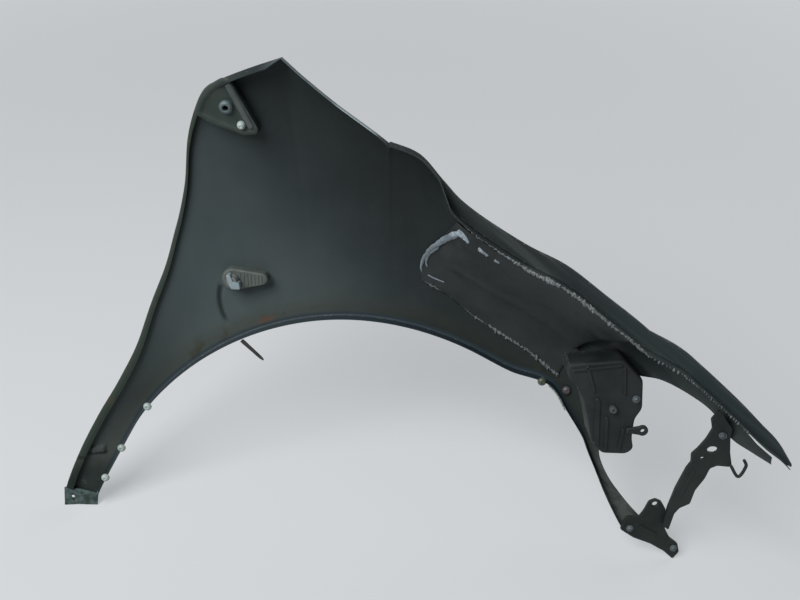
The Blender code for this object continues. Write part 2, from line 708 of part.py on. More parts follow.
def build_block(plastic, bright, white):
    """The moulded bracket behind the headlamp with its stud, screw and clip."""
    block = plate("headlamp_side_bracket", BLOCK_OUTLINE, BLOCK_DEPTH, BLOCK_BACK, plastic)
    cx = sum(x for x, z in BLOCK_OUTLINE) / len(BLOCK_OUTLINE)
    cz = sum(z for x, z in BLOCK_OUTLINE) / len(BLOCK_OUTLINE)
    shrink = 1 - 2.6 * BLOCK_WALL / (BLOCK_OUTLINE[1][0] - BLOCK_OUTLINE[0][0])
    pocket = [(cx + (x - cx) * shrink, cz + (z - cz) * shrink) for x, z in BLOCK_OUTLINE]
    boolean(block, prism("block_pocket", pocket, BLOCK_BACK - BLOCK_DEPTH + BLOCK_WALL, BLOCK_BACK + 0.01))
    for x, z in BLOCK_FEET:
        far = seat_depth(x, z, BLOCK_FOOT / 2)
        near = BLOCK_BACK - BLOCK_DEPTH + 0.5 * BLOCK_WALL
        boolean(block, cylinder(BLOCK_FOOT / 2, far - near, facing(x, (far + near) / 2, z)), "UNION")
    front = BLOCK_BACK - BLOCK_DEPTH - 0.0003
    wide, tall = STUD, STUD_HEIGHT
    stud = ((0, tall), (0.3 * wide, tall), (0.5 * wide, 0.7 * tall), (0.5 * wide, 0), (0, 0))
    turned("headlamp_bracket_stud", stud, facing(STUD_AT[0], front, STUD_AT[1]), plastic, 16)
    screw("headlamp_bracket_screw", BLOCK_SCREW_AT[0], front, BLOCK_SCREW_AT[1], SCREW_HEAD, bright)
    x, z = CLIP_AT
    side = x - 1.4 * CLIP_RING
    turns = [radians(a) for a in range(-120, 121, 20)]
    ring = [(x + CLIP_RING / 2 * cos(a), z + CLIP_RING / 2 * sin(a)) for a in turns]
    base = [(side, z + 0.2 * CLIP_RING), (side, z - 0.2 * CLIP_RING)]
    clip = plate("headlamp_bracket_clip", ring + base, CLIP_THICKNESS, front, plastic,
                 holes=((CLIP_AT, CLIP_HOLE),))
    return clip


def strut_depth(x, z):
    """Depth of the strut's outboard face, which runs from the nose edge to the corner bracket."""
    near, far = Vector(NOSE_LOWER[3]), Vector(NOSE_LOWER[4])
    top_x, top_z = STRUT_OUTLINE[-2]
    top = near.lerp(far, (top_x - near.x) / (far.x - near.x)).y - SEAT_GAP
    foot_x, foot_z = STRUT_OUTLINE[10]
    foot = CORNER_DEPTH - CORNER_THICKNESS - 0.0003
    fall = (top - foot - STRUT_LEAN * (top_x - foot_x)) / (top_z - foot_z)
    return top + STRUT_LEAN * (x - top_x) + fall * (z - top_z)


def build_strut(coated, bright):
    """The strut, its screw and the hook at its side."""
    strut = plate("headlamp_strut", STRUT_OUTLINE, STRUT_THICKNESS, strut_depth, coated,
                  holes=((STRUT_HOLE_AT, STRUT_HOLE),))
    rounded(strut, 0.0008, 1)
    x, z = STRUT_SCREW_AT
    across = Vector((1, strut_depth(x + 1, z) - strut_depth(x, z), 0))
    upward = Vector((0, strut_depth(x, z + 1) - strut_depth(x, z), 1))
    face = across.cross(upward).normalized()
    seat = Vector((x, strut_depth(x, z) - STRUT_THICKNESS, z)) + face * 0.0003
    screw("strut_screw", seat.x, seat.y, seat.z, SCREW_HEAD, bright, face)
    half = HOOK_WIRE / 2
    route = [Vector((x, 0, z)) for x, z in HOOK_ROUTE]
    near_side, far_side = [], []
    for k, spot in enumerate(route):
        along = (route[min(k + 1, len(route) - 1)] - route[max(k - 1, 0)]).normalized()
        side = Vector((-along.z, 0, along.x)) * half
        near_side.append(((spot + side).x, (spot + side).z))
        far_side.append(((spot - side).x, (spot - side).z))
    start_x, start_z = HOOK_ROUTE[0]
    hook_depth = strut_depth(start_x, start_z) - STRUT_THICKNESS - 0.0012
    plate("strut_hook_clip", near_side + far_side[::-1], HOOK_WIRE, hook_depth, coated)


def build_corner(coated, bright):
    """The bracket under the front leg and its two screws."""
    corner = plate("lower_corner_bracket", CORNER_OUTLINE, CORNER_THICKNESS, CORNER_DEPTH, coated,
                   holes=((CORNER_EAR_AT, CORNER_EAR_HOLE),))
    rounded(corner, 0.0006, 1)
    face = CORNER_DEPTH - CORNER_THICKNESS - 0.0003
    for name, (x, z) in CORNER_SCREWS:
        screw(name, x, face, z, SCREW_HEAD, bright)


def build_liner_fixings(white, yellow, pink, bright, brown):
    """Grommets, plug, edge clip and tab along the wheel arch."""
    wide, thick = GROMMET, GROMMET_THICKNESS
    head = ((0, thick), (0.3 * wide, 0.9 * thick), (0.48 * wide, 0.5 * thick), (0.5 * wide, 0), (0, 0))
    bearings = [(f"liner_grommet_{k + 1}", b, white) for k, b in enumerate(GROMMET_BEARINGS)]
    for name, bearing, finish in bearings + [("liner_grommet_front", FRONT_GROMMET_BEARING, yellow)]:
        spot = lip_point(bearing)
        level = min(lip_point(bearing + off).y for off in (-0.8, 0.8)) - LIP_RETURN - SEAT_GAP
        turned(name, head, facing(spot.x, level, spot.z), finish, 16)
    plug = polar(PLUG_BEARING, ARCH_RADIUS + PLUG_ABOVE_ARCH)
    x, z = plug.x, plug.z
    turned("liner_plug", head, facing(x, seat_depth(x, z, GROMMET / 2), z), pink, 16)
    count = 8
    mesh = bmesh.new()
    rows = []
    for k in range(count + 1):
        bearing = EDGE_CLIP_FIRST + (EDGE_CLIP_LAST - EDGE_CLIP_FIRST) * k / count
        spot = lip_point(bearing)
        under = spot - polar(bearing, SHEET + SEAT_GAP)
        rows.append([mesh.verts.new(under + Vector((0, -share * LIP_RETURN, 0))) for share in (0.9, 0.2)])
    for left, right in zip(rows, rows[1:]):
        add_strip(mesh, left, right)
    clip = new_object("arch_edge_clip", mesh, bright)
    sheet = clip.modifiers.new("Sheet", "SOLIDIFY")
    sheet.thickness = EDGE_CLIP_THICKNESS
    sheet.offset = 1.0
    spot = lip_point(TAB_BEARING) - polar(TAB_BEARING, SHEET + 0.5 * SEAT_GAP + 0.245 * TAB_WIDTH)
    along = Vector((cos(radians(TAB_SLOPE)), 0, sin(radians(TAB_SLOPE))))
    side = Vector((-along.z, 0, along.x)) * (TAB_WIDTH / 2)
    tip = spot + along * TAB_LENGTH
    corners = (spot - side, tip - side * 0.7, tip + along * 0.003, tip + side * 0.7, spot + side)
    outline = [(p.x, p.z) for p in corners]
    plate("liner_tab", outline, TAB_THICKNESS, spot.y - 0.9 * LIP_RETURN, brown)


def build_lamp(clear, grey, white, glass):
    """The side lamp: lens outside, tray through the panel, bulb and holder."""
    x, z = lamp_place()
    outline = teardrop(0)
    nearest = min(skin_depth(*spot) for spot in outline)
    farthest = max(skin_depth(*spot) for spot in outline)
    back = farthest + SHEET + SEAT_GAP
    lens = plate("side_lamp_lens", outline, LAMP_DOME, back + LAMP_DOME, clear)
    rounded(lens, 0.35 * LAMP_DOME, 3)
    inside = teardrop(-LAMP_RIM - LAMP_WALL)
    boolean(lens, prism("lens_hollow", inside, back - 0.002, back + LAMP_DOME - LAMP_WALL))
    front = nearest - SEAT_GAP
    neck = -LAMP_RIM - 2 * SEAT_GAP
    tray = plate("side_lamp_housing", teardrop(0), LAMP_DEPTH, front, grey)
    boolean(tray, prism("tray_neck", teardrop(neck), front - 0.003, back - SEAT_GAP), "UNION")
    floor = front - LAMP_DEPTH + LAMP_WALL
    boolean(tray, prism("tray_hollow", teardrop(neck - LAMP_WALL), floor, back + 0.002))
    spot_x = x - LAMP_LENGTH / 2 + LAMP_HEIGHT / 2
    behind = front - LAMP_DEPTH - 0.0003
    holder = ((0, HOLDER_HEIGHT), (0.40 * HOLDER, HOLDER_HEIGHT), (0.44 * HOLDER, 0.5 * HOLDER_HEIGHT),
              (0.5 * HOLDER, 0.4 * HOLDER_HEIGHT), (0.5 * HOLDER, 0), (0, 0))
    turned("side_lamp_bulb_holder", holder, facing(spot_x, behind, z), white, 20)
    bulb_base = floor + 0.0003
    wide, tall = BULB, BULB_LENGTH
    capsule = ((0, tall), (0.3 * wide, 0.93 * tall), (0.5 * wide, 0.7 * tall), (0.5 * wide, 0), (0, 0))
    turned("side_lamp_bulb", capsule, facing(spot_x, bulb_base, z, (0, 1, 0)), glass, 16)


for old in list(bpy.data.objects):
    bpy.data.objects.remove(old)
parts = bpy.data.collections.new("car_fender")
cutters = bpy.data.collections.new("cutters")
bpy.context.scene.collection.children.link(parts)
bpy.context.scene.collection.children.link(cutters)
stand = bpy.data.objects.new("stand", None)
bpy.context.scene.collection.objects.link(stand)

primer = material("dark_primer", (0.050, 0.062, 0.063), 0.45)
dark = material("dark_sheet", (0.020, 0.026, 0.029), 0.50)
pressed = material("pressed_bracket", (0.045, 0.060, 0.058), 0.45)
plastic = material("black_moulding", (0.014, 0.020, 0.022), 0.55)
coated = material("bracket_steel", (0.018, 0.024, 0.026), 0.50)
white = material("white_nylon", (0.60, 0.66, 0.66), 0.45)
yellow = material("yellow_nylon", (0.46, 0.46, 0.20), 0.50)
pink = material("pink_nylon", (0.52, 0.46, 0.47), 0.50)
bright = material("zinc_plated_steel", (0.50, 0.53, 0.54), 0.35, 0.9)
sealer = material("seam_sealer", (0.52, 0.57, 0.62), 0.70)
clear = material("clear_lens", (0.62, 0.68, 0.68), 0.12, 0.0, 0.6)
grey = material("grey_housing", (0.16, 0.18, 0.18), 0.45)
brown = material("brown_rubber", (0.030, 0.022, 0.020), 0.70)
glass = material("lamp_glass", (0.75, 0.78, 0.78), 0.08, 0.0, 0.5)

build_panel(primer)
build_gusset(pressed, bright, white)
build_reinforcement(dark, sealer)
build_block(plastic, bright, white)
build_strut(coated, bright)
build_corner(coated, bright)
build_liner_fixings(white, yellow, pink, bright, brown)
build_lamp(clear, grey, white, glass)

# Lean the whole fender back and set the middle of its base on the origin
stand.rotation_euler = (-radians(LEAN), 0, 0)
bpy.context.view_layer.update()
graph = bpy.context.evaluated_depsgraph_get()
corners = []
for thing in parts.objects:
    shape = thing.evaluated_get(graph)
    corners += [shape.matrix_world @ v.co for v in shape.data.vertices]
low = Vector([min(c[k] for c in corners) for k in range(3)])
high = Vector([max(c[k] for c in corners) for k in range(3)])
stand.location = (-(low.x + high.x) / 2, -(low.y + high.y) / 2, -low.z)
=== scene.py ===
"""Looks of the left front fender of a small car, seen from its inner side as it leans back on its foot.

Each piece is drawn upright about the centre of the wheel arch, +X to the nose, +Y outboard and +Z up.
The matrix `stand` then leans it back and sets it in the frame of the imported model.
"""
from math import atan2, cos, hypot, pi, radians, sin

import bmesh
import bpy
from mathutils import Matrix, Vector, noise
from mathutils.bvhtree import BVHTree


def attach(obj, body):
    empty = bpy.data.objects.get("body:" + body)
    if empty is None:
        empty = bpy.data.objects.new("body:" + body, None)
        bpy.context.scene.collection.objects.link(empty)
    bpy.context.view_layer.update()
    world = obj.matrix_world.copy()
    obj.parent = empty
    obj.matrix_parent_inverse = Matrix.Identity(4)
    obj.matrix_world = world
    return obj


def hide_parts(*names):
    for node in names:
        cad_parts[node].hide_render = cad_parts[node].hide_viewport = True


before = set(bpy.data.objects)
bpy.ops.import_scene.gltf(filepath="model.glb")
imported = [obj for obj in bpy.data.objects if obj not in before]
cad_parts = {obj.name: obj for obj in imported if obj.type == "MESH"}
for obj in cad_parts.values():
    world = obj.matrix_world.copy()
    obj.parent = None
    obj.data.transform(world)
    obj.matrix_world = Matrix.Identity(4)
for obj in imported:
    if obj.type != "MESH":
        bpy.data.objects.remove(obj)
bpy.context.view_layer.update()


# The stance: the fender rests on its foot and on the tip of its lower bracket, leaning back 18 degrees.
# Every mesh below is drawn upright and goes through `stand` once, so its object stays at the origin.
LEAN = 18.0
stand = Matrix.Translation((-0.03444993, -0.01309374, -0.07768624)) @ Matrix.Rotation(-radians(LEAN), 4, "X")


def stand_up(name, mesh, *finishes):
    """An object at the origin from an upright bmesh, with its materials."""
    data = bpy.data.meshes.new(name)
    mesh.transform(stand)
    mesh.to_mesh(data)
    mesh.free()
    for finish in finishes:
        data.materials.append(finish)
    data.shade_smooth()
    piece = bpy.data.objects.new(name, data)
    bpy.context.scene.collection.objects.link(piece)
    return piece


def settle(piece):
    """Turns what a piece's modifiers make into its plain mesh."""
    graph = bpy.context.evaluated_depsgraph_get()
    made = bpy.data.meshes.new_from_object(piece.evaluated_get(graph), preserve_all_data_layers=True, depsgraph=graph)
    piece.modifiers.clear()
    piece.data = made
    return piece


# Fender panel: one deep-drawn pressing of 0.8 mm steel in dark primer. Its arch lip, door hem, cowl
# flange, hood ledge, forked nose, front leg and foot are all folds of the same sheet, with rounded bends.
SHEET = 0.0008
SEAT_GAP = 0.0006
ARCH_RADIUS = 0.347
ARCH_CROWN = 0.014
PLAN_CURVE = 0.33
CROWN_FORE = 0.150
LIP_RETURN = 0.013
SHOULDER = 0.080
FLANK_SHARE = 0.42
LIP_BEND = 0.0028
EDGE_BEND = 0.0022
LEG_SHARE, SPEAR_SHARE = 2 / 14, 4 / 14
LIP_LINE = (
    (164.0, 0.009), (157.0, 0.002), (150.0, -0.001), (140.0, 0.001), (100.0, 0.000),
    (66.0, -0.002), (57.0, 0.001), (49.5, 0.018), (44.0, 0.010),
)
# Outer edge: bearing at the arch centre, direction, reach from the arch circle, depth, shoulder fall
DOOR_EDGE = (
    (164.0, 165.5, 0.050, 0.001, 80.0), (155.5, 156.0, 0.045, -0.001, 80.0),
    (146.4, 146.6, 0.044, -0.003, 80.0), (137.0, 137.5, 0.050, -0.006, 80.0),
    (130.0, 122.7, 0.070, -0.008, 82.0), (123.5, 107.5, 0.118, -0.010, 84.0),
    (118.5, 103.3, 0.164, -0.012, 84.0), (115.0, 101.6, 0.205, -0.016, 82.0),
    (112.0, 101.0, 0.252, -0.024, 80.0), (109.0, 100.5, 0.282, -0.033, 76.0),
    (107.0, 99.8, 0.297, -0.039, 74.0), (104.0, 98.9, 0.303, -0.045, 70.0),
)
TOP_EDGE = ((104.0, 98.9, 0.303, -0.045, 70.0), (98.0, 93.1, 0.315, -0.065, 55.0))
COWL_EDGE = (
    (98.0, 93.1, 0.315, -0.065, 55.0), (94.5, 92.8, 0.293, -0.075, 45.0),
    (89.5, 91.8, 0.265, -0.090, 35.0), (82.5, 90.1, 0.233, -0.105, 22.0),
)
HOOD_EDGE = (
    (82.5, 90.1, 0.235, -0.105, 22.0), (78.5, 88.2, 0.227, -0.112, 18.0),
    (75.0, 87.3, 0.207, -0.118, 13.0), (72.0, 86.5, 0.192, -0.124, 9.0),
    (67.5, 84.9, 0.181, -0.133, 8.0), (62.0, 82.0, 0.174, -0.142, 8.0),
    (56.0, 79.7, 0.176, -0.152, 8.0), (50.0, 75.4, 0.171, -0.162, 8.0),
    (44.0, 69.0, 0.168, -0.172, 8.0),
)
# Folds beyond the outer edge: bearing, step inboard and along the section, ledge inboard and along it
FOLDS = (
    (164.0, 0.0040, 0.0000, 0.0008, -0.0090), (106.0, 0.0040, 0.0000, 0.0008, -0.0090),
    (104.0, 0.0080, -0.0030, 0.0080, -0.0030), (99.5, 0.0080, -0.0030, 0.0080, -0.0030),
    (98.0, 0.0052, 0.0000, 0.0078, 0.0000), (84.2, 0.0052, 0.0000, 0.0078, 0.0000),
    (82.5, 0.0026, -0.0036, 0.0065, 0.0000), (75.5, 0.0026, -0.0036, 0.0065, 0.0000),
    (73.75, 0.0000, -0.0180, 0.0240, 0.0000), (44.0, 0.0000, -0.0180, 0.0240, 0.0000),
)
HOOD_FOLD = FOLDS[-1][1:]
# Front leg: bearing, radius, depth, width, turn-in of its front edge
LEG = (
    (38.0, 0.351, -0.047, 0.019, -0.022), (34.0, 0.345, -0.050, 0.010, -0.027),
    (29.5, 0.341, -0.053, 0.010, -0.026), (25.0, 0.339, -0.057, 0.015, -0.020),
    (20.0, 0.341, -0.063, 0.022, -0.013), (16.0, 0.346, -0.068, 0.030, -0.0114),
)
# Nose: the edge beside the headlamp, the hood edge above it, and how far its ledge has faded out
NOSE_LOWER = (
    (0.330, -0.088, 0.309), (0.352, -0.100, 0.309), (0.377, -0.115, 0.300), (0.400, -0.133, 0.2865),
    (0.418, -0.148, 0.2626), (0.436, -0.160, 0.2525), (0.4555, -0.173, 0.2435),
)
NOSE_UPPER = (
    (0.342, -0.179, 0.381), (0.361, -0.184, 0.366), (0.384, -0.190, 0.346), (0.405, -0.197, 0.327),
    (0.424, -0.203, 0.308), (0.441, -0.209, 0.291), (0.456, -0.214, 0.268),
)
NOSE_FADES = (1.0, 1.0, 1.0, 1.0, 0.9, 0.7, 0.35)
NOSE_SLOT = ((0.433, 0.272), (0.445, 0.270), (0.4585, 0.2645), (0.4585, 0.2495), (0.442, 0.262))
FOOT_STEP = 0.004
FOOT_EAR = 0.0062
FOOT_TOE = 0.0032
FOOT_FLOOR = 0.08152
FOOT_HOLE = 0.0045
FOOT_BEND = 0.0016
ON_FOOT = -0.5  # the distance from the lip that marks the foot's flange for the finish
# Pressed pad above the foot: middle in the side view, half width, half height, rise
FOOT_PAD = (-0.3350, 0.1625, 0.0075, 0.0045, 0.0030)
# A crease runs down from the lamp along an arc in the side view, between two heights about its centre
CREASE_CENTRE = (-0.0981, 0.3646)
CREASE_RADIUS = 0.067
CREASE_LOW, CREASE_HIGH = -0.033, 0.024
CREASE_HALF_WIDTH = 0.0040
CREASE_DEPTH = 0.0018
CREASE_FADE_LOW, CREASE_FADE_HIGH = 0.012, 0.006
CREASE_SHADE_WIDTH = 0.0050
# Sections from the foot to the nose: first and last bearing of each span, and how many it is drawn with
SPANS = (
    (164.0, 116.6, 122), (116.6, 110.8, 48), (110.8, 106.0, 13), (106.0, 98.0, 32), (98.0, 84.2, 40),
    (84.2, 72.0, 44), (72.0, 44.0, 84),
)
# Rows of a section, counted from the lip's free edge: the lip's fold, the first of the skin, the ones at
# which the leg and the nose branch off, and the foot hole's; the outer edge is counted from the far end
LIP_ROW, SKIN_ROW, LEG_ROW, NOSE_ROW, FOOT_HOLE_ROW = 4, 7, 12, 17, 45
EDGE_ROW_FROM_END = 10
PAD_SECTIONS = 60


def between(table, at):
    """The sorted rows of a table, the row before a value of its first column, and the share beyond that row."""
    rows = sorted(table)
    at = min(max(at, rows[0][0]), rows[-1][0])
    k = max(i for i in range(len(rows) - 1) if rows[i][0] <= at or i == 0)
    return rows, k, (at - rows[k][0]) / (rows[k + 1][0] - rows[k][0])


def eased_between(u, a, b, slope_a, slope_b):
    """A value or a point at a share of the way from one to the next, on a smooth curve."""
    return (
        (2 * u**3 - 3 * u**2 + 1) * a + (u**3 - 2 * u**2 + u) * slope_a
        + (3 * u**2 - 2 * u**3) * b + (u**3 - u**2) * slope_b
    )


def smooth(table, at):
    """Values read from a table on a smooth curve through its rows."""
    rows, k, u = between(table, at)
    a, b = rows[k], rows[k + 1]
    before, after = rows[max(k - 1, 0)], rows[min(k + 2, len(rows) - 1)]
    span = b[0] - a[0]
    values = []
    for j in range(1, len(a)):
        slope_a = (b[j] - before[j]) / (b[0] - before[0]) * span
        slope_b = (after[j] - a[j]) / (after[0] - a[0]) * span
        values.append(eased_between(u, a[j], b[j], slope_a, slope_b))
    return values


def straight(table, at):
    """Values read from a table on straight lines between its rows."""
    rows, k, u = between(table, at)
    return [(1 - u) * a + u * b for a, b in zip(rows[k][1:], rows[k + 1][1:])]


def polar(bearing, radius):
    """A point of the side view from its bearing at the arch centre."""
    return Vector((radius * cos(radians(bearing)), 0.0, radius * sin(radians(bearing))))


def lip_point(bearing):
    """Where the wheel-arch lip runs."""
    point = polar(bearing, ARCH_RADIUS + smooth(LIP_LINE, bearing)[0])
    point.y = ARCH_CROWN - PLAN_CURVE * (point.x + CROWN_FORE) ** 2
    return point


def bezier(cage, t):
    """A point on a cubic curve."""
    a, b, c, d = cage
    return (1 - t) ** 3 * a + 3 * t * (1 - t) ** 2 * b + 3 * t * t * (1 - t) * c + t**3 * d


def across_of(low, high):
    """Direction of a section in the side view."""
    line = high - low
    line.y = 0
    return line.normalized()


def panel_cage(bearing):
    """The four control points of a panel section from the lip to the outer edge."""
    edges = (DOOR_EDGE, TOP_EDGE, COWL_EDGE, HOOD_EDGE)
    edge = next(table for table in edges if table[-1][0] <= bearing <= table[0][0])
    direction, reach, depth, fall = smooth(edge, bearing)
    low = lip_point(bearing)
    high = polar(bearing, ARCH_RADIUS) + polar(direction, reach)
    high.y = depth
    across = across_of(low, high)
    handle = min(SHOULDER, 0.36 * reach)
    turn = Vector((0, cos(radians(fall)), 0)) - across * sin(radians(fall))
    return (low, low + across * (FLANK_SHARE * reach), high + turn * handle, high)


def skin_depth(x, z):
    """Depth of the panel's inner face at a place of the side view."""
    spot = Vector((x, 0, z))
    low, high = HOOD_EDGE[-1][0], DOOR_EDGE[0][0]
    for _ in range(32):
        bearing = (low + high) / 2
        cage = panel_cage(bearing)
        line = cage[3] - cage[0]
        off = spot - cage[0]
        if line.x * off.z - line.z * off.x > 0:
            low = bearing
        else:
            high = bearing
    length = hypot(line.x, line.z)
    wanted = (off.x * line.x + off.z * line.z) / length
    start, end = 0.0, 1.0
    for _ in range(32):
        t = (start + end) / 2
        point = bezier(cage, t)
        if ((point.x - cage[0].x) * line.x + (point.z - cage[0].z) * line.z) / length < wanted:
            start = t
        else:
            end = t
    return bezier(cage, t).y


def bend(before, corner, after, radius, count=4):
    """Points round a folded corner."""
    a, b = before - corner, after - corner
    radius = min(radius, 0.45 * a.length, 0.45 * b.length)
    a, b = corner + a.normalized() * radius, corner + b.normalized() * radius
    return [(1 - u) ** 2 * a + 2 * u * (1 - u) * corner + u * u * b for u in (k / count for k in range(count + 1))]


def lip_rows(corner, toward):
    """The lip's free edge and the bend that leads into the skin."""
    edge = corner + Vector((0, -LIP_RETURN, 0))
    return [edge, edge.lerp(corner, 0.45)] + bend(edge, corner, toward, LIP_BEND, 5)


def edge_rows(before, high, step, ledge):
    """The bend at the outer edge, the step and the ledge."""
    rows = bend(before, high, high + step, EDGE_BEND)
    rows += bend(high, high + step, high + step + ledge, EDGE_BEND)
    return rows + [(high + step).lerp(high + step + ledge, 0.6), high + step + ledge]


def spread(first, last, count):
    """Evenly spread shares, without the first."""
    return [first + (last - first) * (k + 1) / count for k in range(count)]


def folded_edge(across, fold, fade=1.0):
    """The step and the ledge beyond an outer edge, from how far each goes inboard and along the section."""
    step_in, step_on, ledge_in, ledge_on = fold
    step = Vector((0, -step_in, 0)) + across * step_on
    ledge = Vector((0, -ledge_in, 0)) + across * ledge_on
    return step * fade, ledge * fade


def panel_column(bearing):
    """All points of one section: lip return, skin, step and ledge."""
    cage = panel_cage(bearing)
    first = LIP_BEND / (3 * (cage[1] - cage[0]).length)
    last = 1 - EDGE_BEND / (3 * (cage[3] - cage[2]).length)
    shares = spread(first, LEG_SHARE, 5) + spread(LEG_SHARE, SPEAR_SHARE, 5) + spread(SPEAR_SHARE, last, 36)[:-1]
    fold = folded_edge(across_of(cage[0], cage[3]), straight(FOLDS, bearing))
    return lip_rows(cage[0], cage[1]) + [bezier(cage, t) for t in shares] + edge_rows(cage[2], cage[3], *fold)


def leg_column(bearing, radius, depth, width, turn):
    """One section of the front leg, from its lip return to its front edge."""
    outer = polar(bearing, radius)
    outer.y = depth
    inner = outer + polar(bearing, width) + Vector((0, turn, 0))
    first = LIP_BEND / (inner - outer).length
    return lip_rows(outer, inner) + [outer.lerp(inner, t) for t in spread(first, 1.0, 5)]


def nose_column(low, high, fade):
    """One section of the nose: skin, step and ledge, which fade out to the tip."""
    low, high = Vector(low), Vector(high)
    across = across_of(low, high)
    reach = (high - low).dot(across)
    handle = min(SHOULDER, 0.9 * (low.y - high.y))
    fall = radians(HOOD_EDGE[-1][4])
    turn = Vector((0, cos(fall), 0)) - across * sin(fall)
    cage = (low, low + across * 0.5 * reach + Vector((0, 0.006, 0)), high + turn * handle, high)
    last = 1 - EDGE_BEND / (3 * (cage[3] - cage[2]).length)
    skin = [bezier(cage, t) for t in spread(0.0, last, 36)[:-1]]
    return [low] + skin + edge_rows(cage[2], high, *folded_edge(across, HOOD_FOLD, fade))


def refine(columns, times):
    """Columns on smooth curves through the given ones."""
    fine = []
    for k in range(len(columns) - 1):
        for stage in range(times):
            u = stage / times
            row = []
            for j in range(len(columns[k])):
                a, b = columns[k][j], columns[k + 1][j]
                before, after = columns[max(k - 1, 0)][j], columns[min(k + 2, len(columns) - 1)][j]
                slope_a = (b - before) / (2 if k else 1)
                slope_b = (after - a) / (2 if k + 2 < len(columns) else 1)
                row.append(eased_between(u, a, b, slope_a, slope_b))
            fine.append(row)
    fine.append(columns[-1])
    return fine


def strip(mesh, left, right):
    """Quads between two rows of vertices."""
    return [mesh.faces.new((left[k], left[k + 1], right[k + 1], right[k])) for k in range(len(left) - 1)]


def pad_rise(x, z, pad):
    """How far a pressed pad stands inboard at a place of the side view."""
    mid_x, mid_z, wide, high, rise = pad
    off = max(abs(x - mid_x) / wide, abs(z - mid_z) / high)
    return rise * min(max((1.35 - off) / 0.45, 0.0), 1.0)


def crease_press(x, z):
    """How deep the crease below the lamp is pressed at a place of the side view."""
    across, up = x - CREASE_CENTRE[0], z - CREASE_CENTRE[1]
    off = abs(hypot(across, up) - CREASE_RADIUS) / CREASE_HALF_WIDTH
    if across > 0 or off > 1:
        return 0.0
    ends = ((up - CREASE_LOW) / CREASE_FADE_LOW, (CREASE_HIGH - up) / CREASE_FADE_HIGH)
    return CREASE_DEPTH * min(max(ends[0], 0.0), max(ends[1], 0.0), 1.0) * (1 - off * off) ** 2


def foot_rows(foot):
    """The foot's flange below the row of vertices where it is folded inboard: a bend, then down to its floor."""
    ear = (foot[-1].co - foot[0].co).normalized() * FOOT_EAR
    columns = []
    for k, vert in enumerate(foot):
        out = ear * max(0.0, (k - len(foot) + 7) / 6) - ear * (FOOT_TOE / FOOT_EAR * max(0.0, (5 - k) / 5))
        corner = vert.co + Vector((0, -FOOT_STEP, 0)) + out
        floor = Vector((corner.x - 0.003, corner.y, FOOT_FLOOR))
        bent = bend(vert.co, corner, floor, FOOT_BEND, 3)
        columns.append(bent + [corner.lerp(floor, share) for share in (0.3, 0.55, 0.8, 1.0)])
    return zip(*columns)


def panel_mesh():
    """The inner face of the whole pressing, with the distances that its finish follows."""
    mesh = bmesh.new()
    lip, rim, fold = (mesh.verts.layers.float.new(name) for name in ("from_lip", "from_edge", "bend"))

    def row_of(points, lip_at=None, edge_at=None):
        verts = [mesh.verts.new(p) for p in points]
        for k, vert in enumerate(verts):
            vert[lip] = 1.0 if lip_at is None else (vert.co - points[lip_at]).length * (1 if k > lip_at else -1)
            vert[rim] = 1.0 if edge_at is None else (vert.co - points[edge_at]).length * (1 if k < edge_at else -1)
        for k in (lip_at, edge_at, None if edge_at is None else edge_at + 5):
            if k is not None:
                for near in range(-3, 4):
                    if 0 <= k + near < len(verts):
                        verts[k + near][fold] = max(verts[k + near][fold], 1 - abs(near) / 4)
        return verts

    def branch(verts, columns, *folds):
        for column in columns:
            before, verts = verts, row_of(column, *folds)
            strip(mesh, before, verts)

    bearings = [a + (b - a) * k / count for a, b, count in SPANS for k in range(count)] + [SPANS[-1][1]]
    columns = [panel_column(bearing) for bearing in bearings]
    edge_row = len(columns[0]) - EDGE_ROW_FROM_END
    for number, column in enumerate(columns):
        for point in column[SKIN_ROW:edge_row - 3]:
            if number < PAD_SECTIONS:
                point.y -= pad_rise(point.x, point.z, FOOT_PAD)
            point.y += crease_press(point.x, point.z)
    grid = [row_of(column, LIP_ROW, edge_row) for column in columns]
    for left, right in zip(grid, grid[1:]):
        strip(mesh, left, right)
    end = columns[-1]
    legs = refine([end[:LEG_ROW + 1]] + [leg_column(*row) for row in LEG], 12)[1:]
    branch(grid[-1][:LEG_ROW + 1], legs, LIP_ROW)
    noses = [nose_column(*row) for row in zip(NOSE_LOWER, NOSE_UPPER, NOSE_FADES)]
    branch(grid[-1][NOSE_ROW:], refine([end[NOSE_ROW:]] + noses, 9)[1:], None, edge_row - NOSE_ROW)
    before = grid[0][SKIN_ROW:edge_row - 2]
    for k, row in enumerate(foot_rows(before)):
        verts = [mesh.verts.new(point) for point in row]
        for vert in verts:
            vert[lip], vert[rim] = ON_FOOT, 0.002 * k
        strip(mesh, verts, before)
        before = verts
    return mesh


def teardrop(grow, count=14):
    """Outline of the side lamp, its round end to the rear, grown evenly."""
    rear, tip = LAMP_HEIGHT / 2, LAMP_TIP / 2
    middle = polar(LAMP_BEARING, ARCH_RADIUS + LAMP_ABOVE_ARCH)
    rear_x, tip_x = middle.x - LAMP_LENGTH / 2 + rear, middle.x + LAMP_LENGTH / 2 - tip
    turns = [radians(85 + 190 * k / (2 * count)) for k in range(2 * count + 1)]
    points = [(rear_x + (rear + grow) * cos(a), middle.z + (rear + grow) * sin(a)) for a in turns]
    turns = [radians(-80 + 160 * k / count) for k in range(count + 1)]
    return points + [(tip_x + (tip + grow) * cos(a), middle.z + (tip + grow) * sin(a)) for a in turns]


